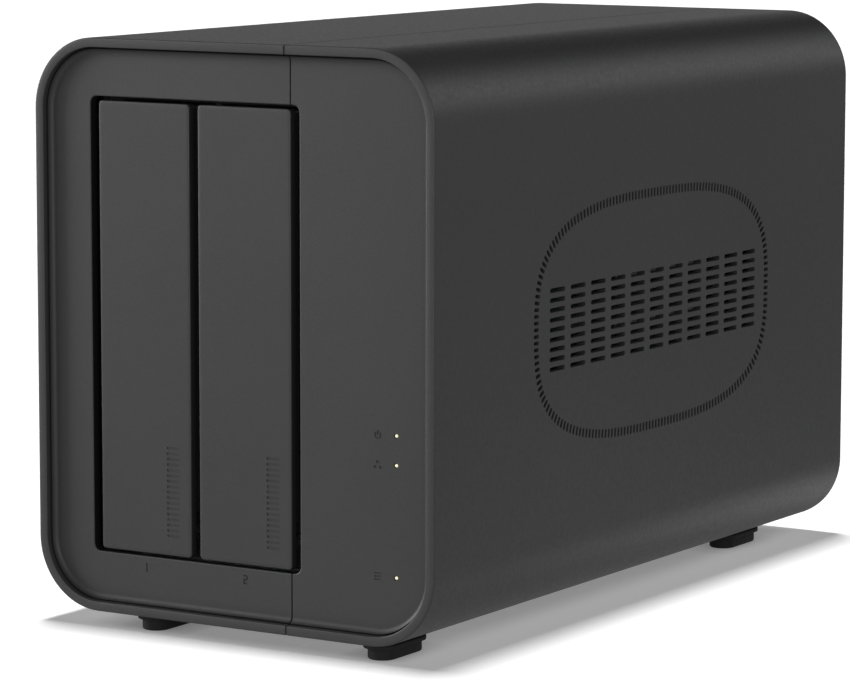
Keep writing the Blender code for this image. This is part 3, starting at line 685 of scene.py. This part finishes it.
def enclosure():
    left = half_of(whole_shell(), -1)
    piece("shell_left", left, [SHELL, INK, LINING_AND_SHADE], "enclosure", ["main_housing"])
    right = whole_shell()
    pierce_right_wall(right)
    right = together([half_of(right, 1), *(cover_lug(screw) for screw in THUMB_SCREWS)])
    piece("shell_right", right, [SHELL, INK, LINING_AND_SHADE], "enclosure", ["side_cover"])


def cover_lug(screw):
    """The tab of the right moulding that a thumb screw holds against the rear panel."""
    x, z = middle_xz(screw)
    start = PANEL[1].y + 0.3
    outline = between((x - 6, z - 5.5, RIGHT - 1.2, z + 5.5), 1.5)
    return sheet("Y", outline, [circle(x, z, 2.2)], start, start + 1.5, 0.2)


def oblong(x, y, width, length):
    """A round-ended outline along Y, as a function of how far it is drawn in."""
    def outline(inset):
        return rounded(x, y, width - 2 * inset, length - 2 * inset, width / 2 - inset - 0.01, 8)

    return outline


def feet():
    """Rubber feet: an oblong pad under a wider flange."""
    for where in ("front_left", "front_right", "rear_left", "rear_right"):
        low, high = box_mm(f"foot_{where}")
        x, y = (low.x + high.x) / 2, (low.y + high.y) / 2
        width, length = high.x - low.x, high.y - low.y
        shapes = [
            softened("Z", oblong(x, y, width - 2, length - 2.4), low.z, low.z + 3.2, 0.5),
            softened("Z", oblong(x, y, width, length), low.z + 2.8, BASE - 0.05, 0.25),
        ]
        piece(f"rubber_foot_{where}", together(shapes), RUBBER, "enclosure", [f"foot_{where}"])


def status_lights():
    """Clear light guides with domed tips, and a collar behind the plate."""
    dome = [(-0.02, 0.15), (0.03, LENS_R * 0.6), (0.15, LENS_R * 0.92), (0.35, LENS_R)]
    collar_r = 1.55
    for k, light in enumerate(LIGHTS):
        low, high = box_mm(f"light_pipe_{k + 1}")
        profile = [(low.y + depth, radius) for depth, radius in dome]
        profile += [(PLATE_BACK + 0.3, LENS_R), (PLATE_BACK + 0.3, collar_r), (high.y, collar_r)]
        lens = turned("Y", light.x, light.z, profile, 20)
        piece(f"status_lens_{k + 1}", lens, LENS, "enclosure", [f"light_pipe_{k + 1}"])


# ---------------------------------------------------------------- rear
def middle_xz(node):
    low, high = box_mm(node)
    return (low.x + high.x) / 2, (low.z + high.z) / 2


def fan_slots():
    """Rows of round-ended slots within the fan's circle, split by an upright bar."""
    fx, fz = FAN_CENTRE
    reach, pitch, height, bar = 37.0, 5.2, 3.0, 2.6
    outlines = []
    for row in range(-6, 7):
        edge = abs(row * pitch) + height / 2
        half = math.sqrt(reach**2 - edge**2)
        for side in (-1, 1):
            u0, u1 = sorted((fx + side * bar / 2, fx + side * half))
            v = fz + row * pitch
            outlines.append(between((u0, v - height / 2, u1, v + height / 2), height / 2 - 0.05, 4))
    return outlines


def rear_plate():
    """The painted sheet that closes the rear, pierced for the fan, sockets, button and screws."""
    holes = fan_slots()
    for node in SOCKETS:
        low, high = box_mm(node)
        holes.append(between((low.x - 0.1, low.z - 0.1, high.x + 0.1, high.z + 0.1), 0.4, 2))
    round_holes = {"power_button": 4.4, "dc_jack": 4.0}
    round_holes.update({f"fan_screw_{k}": 2.3 for k in range(1, 5)})
    round_holes.update({f"panel_screw_{k}": 1.8 for k in (1, 2)})
    round_holes.update({screw: 2.2 for screw in THUMB_SCREWS})
    holes += [circle(*middle_xz(node), radius) for node, radius in round_holes.items()]
    plate = sheet("Y", body_outline(WALL + 0.3), holes, PANEL[0].y, PANEL[1].y)
    piece("rear_sheet", plate, PAINTED, "enclosure", ["rear_panel"])


def screw_head(node, recess):
    """A shouldered screw facing +Y, with a shallow recess in its head."""
    low, high = box_mm(node)
    x, z = middle_xz(node)
    radius = (high.x - low.x) / 2
    head = high.y - 0.6 * radius
    shank = [(low.y, 0.9), (low.y + 0.8, 1.35), (head, 1.35)]
    dome = [(head, radius - 0.15), (head + 0.15, radius)]
    rise = high.y - head - 0.3
    for k in range(1, 5):
        t = math.radians(90 * k / 5)
        dome.append((head + 0.3 + rise * math.sin(t), radius * (0.66 + 0.34 * math.cos(t))))
    dome.append((high.y, radius * 0.62))
    bm = bmesh.new()
    first, last = skin(bm, "Y", [(y, circle(x, z, r, 28)) for y, r in shank + dome])
    bm.faces.new(first)
    mark = [(x + u * radius, z + v * radius) for u, v in recess]
    fill(bm, [last, sunk_mark(bm, "Y", mark, high.y, -0.28 * radius, 0)])
    bmesh.ops.recalc_face_normals(bm, faces=bm.faces)
    return bm


CROSS = [
    (0.1, 0.1), (0.1, 0.48), (-0.1, 0.48), (-0.1, 0.1), (-0.48, 0.1), (-0.48, -0.1),
    (-0.1, -0.1), (-0.1, -0.48), (0.1, -0.48), (0.1, -0.1), (0.48, -0.1), (0.48, 0.1),
]


def rear_screws():
    """Cross-headed screws for the fan and panel, and knurled thumb screws for the cover."""
    for node in [f"fan_screw_{k}" for k in range(1, 5)] + ["panel_screw_1", "panel_screw_2"]:
        piece(f"{node}_head", screw_head(node, CROSS), BOLT, "enclosure", [node])
    for node in THUMB_SCREWS:
        low, high = box_mm(node)
        x, z = middle_xz(node)
        radius = (high.x - low.x) / 2
        head = high.y - 4.0
        knurl = []
        for k in range(60):
            r, turn = radius - 0.22 * (k % 2), math.pi * k / 30
            knurl.append((x + r * math.cos(turn), z + r * math.sin(turn)))
        low_edge, top_edge = circle(x, z, radius - 0.5, 60), circle(x, z, radius - 0.55, 60)
        bm = bmesh.new()
        shank = ((low.y, 1.2), (low.y + 1, 1.6), (head, 1.6))
        sections = [(y, circle(x, z, r, 60)) for y, r in shank]
        sections += [(head, low_edge), (head + 0.4, knurl), (high.y - 0.4, knurl), (high.y, top_edge)]
        first, last = skin(bm, "Y", sections)
        bm.faces.new(first)
        slot = rounded(x, z, 1.5 * radius, 0.8, 0.3, 3)
        fill(bm, [last, sunk_mark(bm, "Y", slot, high.y, -1.0, 0)])
        bmesh.ops.recalc_face_normals(bm, faces=bm.faces)
        piece(f"{node}_knob", bm, BOLT, "enclosure", [node])


SOCKETS = ("hdmi_port", "usb_port_1", "usb_port_2", "lan_port_1", "lan_port_2")
INLET_FLOOR = 95.0


def socket_shell(node, cavity, floor):
    """A plated shell with a black cavity; its finishes are the plating and the black cavity plastic."""
    low, high = box_mm(node)
    outer = between((low.x, low.z, high.x, high.z), 0.5, 3)
    bm = bmesh.new()
    back, front = skin(bm, "Y", [(low.y, outer), (high.y - 0.2, outer), (high.y, grow(outer, -0.2))])
    bm.faces.new(back)
    mouth, inner, end = [ring(bm, "Y", cavity, y) for y in (high.y, high.y - 0.8, floor)]
    bridge(bm, mouth, inner)
    bridge(bm, inner, end, 1)
    fill(bm, [end], 1)
    fill(bm, [front, mouth])
    bmesh.ops.recalc_face_normals(bm, faces=bm.faces)
    return bm


def network_socket(node):
    """A plated shell round a keyed opening with eight contacts."""
    low, high = box_mm(node)
    _, z = middle_xz(node)
    x0 = low.x + 1.6
    x1, x2 = low.x + 3.2, low.x + 11.2
    cavity = [
        (x1, z - 5.9), (x2, z - 5.9), (x2, z + 5.9), (x1, z + 5.9),
        (x1, z + 3.1), (x0, z + 3.1), (x0, z - 3.1), (x1, z - 3.1),
    ]
    shapes = [socket_shell(node, cavity, high.y - 11.4)]
    for k in range(8):
        v = z + (k - 3.5) * 1.02
        contact = block(x2 - 1.1, x2 - 0.75, high.y - 10.5, high.y - 2.5, v - 0.18, v + 0.18, 0.08)
        shapes.append(tinted(contact, 2))
    return together(shapes)


def flat_socket(node):
    """A plated shell round a tongue with contacts on one side."""
    low, high = box_mm(node)
    x, z = middle_xz(node)
    cavity = between((low.x + 0.5, low.z + 0.5, high.x - 0.5, high.z - 0.5), 0.3, 2)
    if node == "hdmi_port":
        u0, u1, v0, v1 = low.x + 0.6, high.x - 0.6, low.z + 0.5, high.z - 0.5
        cavity = [(u0, v0), (u1 - 1.6, v0), (u1, v0 + 1.6), (u1, v1 - 1.6), (u1 - 1.6, v1), (u0, v1)]
    shapes = [socket_shell(node, cavity, high.y - 12.4)]
    tongue = block(x - 0.9, x + 0.9, high.y - 12.6, high.y - 1.2, low.z + 1.8, high.z - 1.8, 0.2)
    shapes.append(tinted(tongue, 3))
    pins = 9 if node == "hdmi_port" else 4
    span = high.z - low.z - 5.5
    for k in range(pins):
        v = z + span * (k / (pins - 1) - 0.5)
        width = 0.25 * span / (pins - 1)
        contact = block(x + 0.85, x + 1.0, high.y - 10, high.y - 1.8, v - width, v + width, 0.05)
        shapes.append(tinted(contact, 2))
    return together(shapes)


def power_inlet():
    """A moulded barrel round a bare pin, on a block behind the panel."""
    low, high = box_mm("dc_jack")
    width = 11.0
    x, z = low.x + width / 2, (low.z + high.z) / 2
    body = block(low.x, low.x + width, low.y, PANEL[0].y - 0.3, low.z, high.z, 0.4)
    rings = [(PANEL[0].y - 1, 3.7), (high.y - 0.2, 3.7), (high.y, 3.5)]
    rings += [(high.y, 3.1), (high.y - 0.2, 2.9), (INLET_FLOOR, 2.9)]
    barrel = turned("Y", x, z, rings, 40)
    tip = [(high.y - 1.3, 1.0), (high.y - 0.9, 0.8), (high.y - 0.8, 0.5)]
    pin = turned("Y", x, z, [(INLET_FLOOR - 0.5, 1.0), *tip], 20)
    shape = together([body, barrel, tinted(pin, 1)])
    piece("power_inlet", shape, [BLACK, STEEL], "enclosure", ["dc_jack"])


def sockets():
    """Every socket in the rear panel."""
    for node in SOCKETS:
        shape = network_socket(node) if node.startswith("lan") else flat_socket(node)
        tongue = BLACK if node == "hdmi_port" else BLUE
        finishes = [NICKEL, LINING_AND_SHADE, GOLD, tongue]
        piece(f"{node}_shell", shape, finishes, "enclosure", [node])
    power_inlet()


def push_button():
    """The round power button: a dished cap marked with a bar in an open ring."""
    low, high = box_mm("power_button")
    x, z = middle_xz("power_button")
    stem_r, flange_r, cap_r = 2.0, 5.2, 4.0
    flange = (low.y + 3, PANEL[0].y - 0.3)
    cap_edge = [(0.4, 0), (0.1, 0.15), (0, 0.45), (0.05, 0.7), (0.2, 1.0)]
    profile = [(low.y, stem_r), (flange[0], stem_r), (flange[0], flange_r), (flange[1], flange_r)]
    profile += [(flange[1], cap_r)] + [(high.y - depth, cap_r - inset) for depth, inset in cap_edge]
    bm = bmesh.new()
    first, last = skin(bm, "Y", [(y, circle(x, z, radius, 40)) for y, radius in profile])
    bm.faces.new(first)
    stem = [(x - 0.2, z + 0.3), (x + 0.2, z + 0.3), (x + 0.2, z + 2.0), (x - 0.2, z + 2.0)]
    bowl = arc(x, z - 0.1, 1.75, 1.75, 125, 415, 20) + arc(x, z - 0.1, 1.35, 1.35, 415, 125, 20)
    fill(bm, [last] + [sunk_mark(bm, "Y", mark, high.y - 0.2, -0.1, 1) for mark in (stem, bowl)])
    bmesh.ops.recalc_face_normals(bm, faces=bm.faces)
    piece("power_push_button", bm, [BLACK, PALE_INK], "power_button", ["power_button"])


def fan_blade(turn):
    """One cambered, swept and twisted blade."""
    fx, fz = FAN_CENTRE
    y = box_mm("fan_rotor")[0].y + 10.0
    steps, rows, chord = 8, 8, 16.0
    bm = bmesh.new()
    rings = []
    for row in range(rows + 1):
        part = row / rows
        radius, pitch = 15.5 + 21.6 * part, math.radians(50 - 20 * part)
        faces = ([], [])
        for k in range(steps + 1):
            s = 2 * k / steps - 1
            camber, thick = 1.5 * (1 - s * s), 0.25 + 0.45 * math.sqrt(1 - s * s)
            for side, points in zip((1, -1), faces):
                w = camber + side * thick
                u = s * chord / 2 * math.cos(pitch) - w * math.sin(pitch)
                v = s * chord / 2 * math.sin(pitch) + w * math.cos(pitch)
                a = turn + u / radius - 0.25 * part
                points.append((fx + radius * math.cos(a), y + v, fz + radius * math.sin(a)))
        rings.append([bm.verts.new(point) for point in faces[0] + faces[1][::-1]])
    for one, two in zip(rings, rings[1:]):
        bridge(bm, one, two)
    bm.faces.new(rings[0])
    bm.faces.new(rings[-1])
    bmesh.ops.recalc_face_normals(bm, faces=bm.faces)
    return bm


def fan():
    """The fan's frame with its motor seat and four struts, and the wheel of seven blades."""
    fx, fz = FAN_CENTRE
    low, high = FAN
    size = high.x - low.x
    holes = [circle(fx, fz, FAN_BORE_R, 72)]
    holes += [circle(*middle_xz(f"fan_screw_{k}"), 2.4) for k in range(1, 5)]
    body = sheet("Y", rounded(fx, fz, size, size, 3.5), holes, low.y, high.y, 0.5)
    seat = [(high.y - 2.6, 15.6), (high.y - 2.3, 16), (high.y - 0.5, 16), (high.y - 0.2, 15.7)]
    shapes = [body, turned("Y", fx, fz, seat, 48)]
    for k in range(4):
        strut = block(14, FAN_BORE_R + 1.2, high.y - 2.4, high.y - 0.5, -1.3, 1.3, 0.4)
        strut.transform(Matrix.Rotation(math.radians(45 + 90 * k), 4, "Y"))
        strut.transform(Matrix.Translation((fx, 0, fz)))
        shapes.append(strut)
    piece("fan_body", together(shapes), BLACK, "enclosure", ["fan_frame"])
    y0, y1 = high.y - 23, high.y - 3.2
    hub_profile = [(y0, 13), (y0 + 0.3, 15.2), (y0 + 1.2, 16.4), (y1 - 0.3, 16.4), (y1, 16.1)]
    hub = turned("Y", fx, fz, hub_profile, 48)
    blades = [fan_blade(2 * math.pi * (k + 0.5) / FAN_BLADES) for k in range(FAN_BLADES)]
    piece("fan_wheel", together([hub, *blades]), BLACK, "fan_rotor", ["fan_rotor"])


def rear():
    rear_plate()
    rear_screws()
    sockets()
    push_button()
    fan()


# ---------------------------------------------------------------- drive trays
def lever_front(number):
    """The moulded face of a tray: soft edges, a column of sunk bars, ribs and hinge knuckles behind."""
    low, high = LEVERS[number]
    cx, cz = (low.x + high.x) / 2, (low.z + high.z) / 2
    width, height = high.x - low.x, high.z - low.z
    edge, corner, back = 0.25, 0.9, PLATE_FRONT + 2.2

    def face_outline(inset):
        return rounded(cx, cz, width - 2 * inset, height - 2 * inset, corner - inset, 5)

    bm = bmesh.new()
    sections = [(PLATE_FRONT, rounded(cx, cz, width - 2, height - 2, 0.5, 5))]
    for k in range(5):
        t = math.radians(90 * k / 4)
        sections.append((PLATE_FRONT + edge * (1 - math.cos(t)), face_outline(edge * (1 - math.sin(t)))))
    sections.append((PLATE_FRONT + 0.45, face_outline(0)))
    mouth, shoulder = skin(bm, "Y", sections)
    rear = [bm.verts.new((v.co.x, back, v.co.z)) for v in shoulder]
    bridge(bm, shoulder, rear, 1)
    bar_x, bar_z = high.x - 5.4, low.z + 5.0
    bars = [rounded(bar_x, bar_z + BAR_PITCH * k, *BAR, 0.3, 3) for k in range(BAR_COUNT)]
    # painted shade: the bars' floors take the darker third finish
    fill(bm, [mouth] + [sunk_mark(bm, "Y", bar, PLATE_FRONT, BAR_DEPTH, 2) for bar in bars])
    fill(bm, [rear], 1)
    bmesh.ops.recalc_face_normals(bm, faces=bm.faces)
    hinge = box_mm(f"tray_{number}_hinge_pin")
    hy, hz = (hinge[0].y + hinge[1].y) / 2, (hinge[0].z + hinge[1].z) / 2
    shapes = [bm]
    sides = (low.x + 0.5, high.x - 1.7)
    ribs = [block(x, x + 1.2, back - 0.3, back + 2.3, hz + 5, high.z - 1.1, 0.2) for x in sides]
    ribs.append(block(low.x + 0.7, high.x - 0.7, back - 0.3, back + 2.2, high.z - 2.2, high.z - 1.2, 0.2))
    near, far = 4.3, 10.7
    for x0, x1 in ((cx - far, cx - near), (cx + near, cx + far)):
        ribs.append(block(x0, x1, back - 0.3, hy - 1.3, hz - 1.7, hz + 1.7, 0.2))
        ribs.append(knuckle(x0, x1, hy, hz))
    return together(shapes + [tinted(rib, 1) for rib in ribs])


def knuckle(x0, x1, y, z, outer=2.15, inner=1.2):
    """A bored hinge barrel along X."""
    bm = bmesh.new()
    chamfer = 0.2
    section = [(x0, outer - chamfer), (x0 + chamfer, outer), (x1 - chamfer, outer), (x1, outer - chamfer)]
    section += [(x1, inner), (x0, inner)]
    rings = [ring(bm, "X", circle(y, z, r, 28), x) for x, r in section]
    for one, two in zip(rings, rings[1:] + rings[:1]):
        bridge(bm, one, two)
    bmesh.ops.recalc_face_normals(bm, faces=bm.faces)
    return bm


def coil(number):
    """The lever's torsion spring: round wire wound on the pin."""
    hinge = box_mm(f"tray_{number}_hinge_pin")
    y, z = (hinge[0].y + hinge[1].y) / 2, (hinge[0].z + hinge[1].z) / 2
    cx = (hinge[0].x + hinge[1].x) / 2
    turns, wire, radius, half = 5, 0.28, 1.72, 2.9
    steps = turns * 24
    path = []
    for k in range(steps + 1):
        a = 2 * math.pi * k / 24
        x = cx - half + 2 * half * k / steps
        path.append(Vector((x, y + radius * math.cos(a), z + radius * math.sin(a))))
    return tube(path, wire)


def tube(path, radius, sides=8):
    """A closed round tube along a list of points."""
    bm = bmesh.new()
    rings = []
    side = None
    for k, point in enumerate(path):
        ahead = (path[min(k + 1, len(path) - 1)] - path[max(k - 1, 0)]).normalized()
        side = side or ahead.orthogonal()
        side = (side - ahead * side.dot(ahead)).normalized()
        up = ahead.cross(side)
        spokes = [math.tau * n / sides for n in range(sides)]
        around = [side * math.cos(a) + up * math.sin(a) for a in spokes]
        rings.append([bm.verts.new(point + spoke * radius) for spoke in around])
    for one, two in zip(rings, rings[1:]):
        bridge(bm, one, two)
    bm.faces.new(rings[0])
    bm.faces.new(rings[-1])
    bmesh.ops.recalc_face_normals(bm, faces=bm.faces)
    return bm


def trays():
    """The visible front, spring and drive details of both trays."""
    for k in (1, 2):
        lever, finishes = f"tray_{k}_lever", [TRAY, CARRIER, SUNK_BAR_SHADE]
        piece(f"tray_{k}_front", lever_front(k), finishes, lever, [lever])
        piece(f"tray_{k}_coil", coil(k), STEEL, f"tray_{k}", [f"tray_{k}_lever_spring"])
        drive_trim(k)


def drive_trim(number):
    """A blank label and six cover screws on a hard drive's wide face."""
    low, high = box_mm(f"hard_drive_{number}")
    body = f"tray_{number}"
    cy, cz = (low.y + high.y) / 2, (low.z + high.z) / 2

    def label(inset):
        return rounded(cy + 8, cz, 96 - 2 * inset, 74 - 2 * inset, 3, 4)

    sticker = solid("X", [(high.x, label(0)), (high.x + 0.12, label(0)), (high.x + 0.15, label(0.05))])
    piece(f"drive_{number}_label", sticker, LABEL, body)
    heads = []
    for y in (low.y + 8, cy, high.y - 8):
        for z in (low.z + 7, high.z - 7):
            heads.append(turned("X", y, z, [(high.x, 2.0), (high.x + 0.25, 1.9), (high.x + 0.3, 1.5)], 16))
    piece(f"drive_{number}_lid_screws", together(heads), BOLT, body)


# ---------------------------------------------------------------- finishes for the CAD nodes that stay
KEPT = {
    CARRIER: ["tray_1_carrier", "tray_2_carrier", "bay_guide_bottom", "bay_guide_top"],
    STEEL: ["drive_cage", "tray_1_hinge_pin", "tray_2_hinge_pin", "clock_battery"],
    BOLT: ["board_screw_1", "board_screw_2", "board_screw_3", "board_screw_4"],
    CAST: ["hard_drive_1", "hard_drive_2"],
    ALUMINIUM: ["heatsink"],
    BOARD: ["main_board", "backplane", "indicator_board", "memory_module"],
    CHIP: ["processor"],
    BLACK: [
        "power_switch", "memory_socket", "tray_1_latch", "tray_2_latch", "sata_socket_1", "sata_socket_2",
    ],
    WHITE: ["tray_1_plunger", "tray_2_plunger"],
}


def finish_kept_nodes():
    for finish, nodes in KEPT.items():
        for node in nodes:
            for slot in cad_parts[node].material_slots:
                slot.material = finish


# ---------------------------------------------------------------- studio
CAMERA_PLACE_M = Vector((0.56053, -0.91843, 0.20568))
CAMERA_AIM = Vector((-0.52464593, 0.8411924, -0.13092746))
CAMERA_ROLL = 0.001128
CAMERA_LENS = 169.7
FLOOR_SHADE = 0.345
CONTACT_SHADE = 0.1


def floor():
    """A pale floor, far larger than the view. It reflects less onto the object than it shows the camera,
    and its glow carries a painted contact shadow close under the object.
    """
    bm = bmesh.new()
    reach = 30.0
    rings = []
    for radius in (0.0001, 0.5, 2.0, reach):
        rings.append([bm.verts.new((x, y, 0)) for x, y in circle(0, 0, radius, 48)])
    for one, two in zip(rings, rings[1:]):
        bridge(bm, one, two)
    bm.faces.new(rings[0])
    bmesh.ops.recalc_face_normals(bm, faces=bm.faces)
    mesh = bpy.data.meshes.new("studio_floor")
    bm.to_mesh(mesh)
    bm.free()
    obj = bpy.data.objects.new("studio_floor", mesh)
    bpy.context.scene.collection.objects.link(obj)
    n = Nodes("floor_paper")
    paper = n.mix(n.spread(n.noise(60, 3), 0, 1), (0.9, 0.9, 0.9), (0.92, 0.92, 0.92))
    path = n.add("ShaderNodeLightPath")
    n.set("Base Color", n.mix(path.outputs["Is Camera Ray"], (0, 0, 0), paper))
    # painted shadow: the floor's glow drops from FLOOR_SHADE to CONTACT_SHADE where ambient occlusion finds
    # the object close above
    open_above = n.add("ShaderNodeAmbientOcclusion", samples=8)
    open_above.inputs["Distance"].default_value = 0.008
    openness = n.spread(open_above.outputs["AO"], 0, 1, 0.05, 0.4)
    shaded = n.mix(openness, (CONTACT_SHADE,) * 3, (FLOOR_SHADE,) * 3)
    n.set("Emission Color", shaded)
    n.set("Emission Strength", 1.0)
    n.set("Roughness", 0.8)
    n.set("Specular IOR Level", 0.0)
    mesh.materials.append(n.material)
    return obj


def place_light(name, data, towards, distance, linked, state, aim=(0, 0, 0.075)):
    """Puts a light out along an (azimuth, elevation) direction, shining back at the object.

    One from below stands for the floor's own glow, so the floor doesn't block it.
    """
    azimuth, elevation = (math.radians(angle) for angle in towards)
    level = math.cos(elevation)
    out = Vector((math.sin(azimuth) * level, -math.cos(azimuth) * level, math.sin(elevation)))
    obj = bpy.data.objects.new(name, data)
    obj.location = Vector(aim) + out * distance
    obj.rotation_mode = "QUATERNION"
    obj.rotation_quaternion = (-out).to_track_quat("-Z", "Y")
    obj.visible_camera = False
    bpy.context.scene.collection.objects.link(obj)
    lit = bpy.data.collections.new(name)
    lit.objects.link(linked)
    lit.collection_objects[0].light_linking.link_state = state
    obj.light_linking.receiver_collection = lit
    if elevation < 0:
        obj.light_linking.blocker_collection = lit


def softbox(name, towards, distance, size, energy, floor_sheet, aim=(0, 0, 0.075)):
    """A soft rectangular light that shines on the object and leaves the floor alone."""
    data = bpy.data.lights.new(name, "AREA")
    data.shape = "RECTANGLE"
    data.size, data.size_y = size
    data.energy = energy
    place_light(name, data, towards, distance, floor_sheet, "EXCLUDE", aim)


def floor_light(towards, strength, spread, floor_sheet):
    """A broad light on the floor alone, which gives the object its shadow."""
    data = bpy.data.lights.new("floor_light", "SUN")
    data.energy = strength
    data.angle = math.radians(spread)
    place_light("floor_light", data, towards, 1.0, floor_sheet, "INCLUDE")


def studio(paper):
    scene = bpy.context.scene
    world = bpy.data.worlds.new("studio")
    world.use_nodes = True
    tree = world.node_tree
    backdrop = tree.nodes["Background"]
    backdrop.inputs["Color"].default_value = (1, 1, 1, 1)
    path = tree.nodes.new("ShaderNodeLightPath")
    tree.links.new(path.outputs["Is Camera Ray"], backdrop.inputs["Strength"])
    scene.world = world
    scene.view_settings.view_transform = "Standard"
    softbox("left_softbox", (-75, 12), 1.6, (1.0, 0.8), 27.0, paper)
    softbox("left_upper", (-52, 22), 1.6, (1.2, 1.0), 5.6, paper)
    softbox("front_fill", (25, 10), 2.0, (0.8, 0.5), 13.9, paper)
    softbox("right_fill", (75, 12), 1.6, (1.0, 0.6), 3.1, paper)
    softbox("overhead", (0, 88), 1.6, (1.0, 1.0), 3.1, paper)
    softbox("back_right_edge", (148, 22), 2.0, (1.2, 0.8), 5.4, paper)
    softbox("back_left_edge", (212, 15), 2.0, (1.2, 0.4), 1.4, paper)
    rear_corner = Vector((RIGHT, REAR, BASE + CORNER_R)) * MM
    softbox("floor_glow", (165, -27), 0.25, (0.17, 0.08), 0.04, paper, rear_corner)
    floor_light((-130, 86.5), 2.8, 7, paper)


def camera():
    data = bpy.data.cameras.new("camera")
    data.sensor_width = 36
    data.lens = CAMERA_LENS
    data.clip_start, data.clip_end = 0.01, 100
    obj = bpy.data.objects.new("camera", data)
    obj.location = CAMERA_PLACE_M
    obj.rotation_mode = "QUATERNION"
    aim = CAMERA_AIM.to_track_quat("-Z", "Y")
    obj.rotation_quaternion = aim @ Matrix.Rotation(CAMERA_ROLL, 3, "Z").to_quaternion()
    bpy.context.scene.collection.objects.link(obj)
    bpy.context.scene.camera = obj


enclosure()
feet()
status_lights()
rear()
trays()
finish_kept_nodes()
studio(floor())
camera()
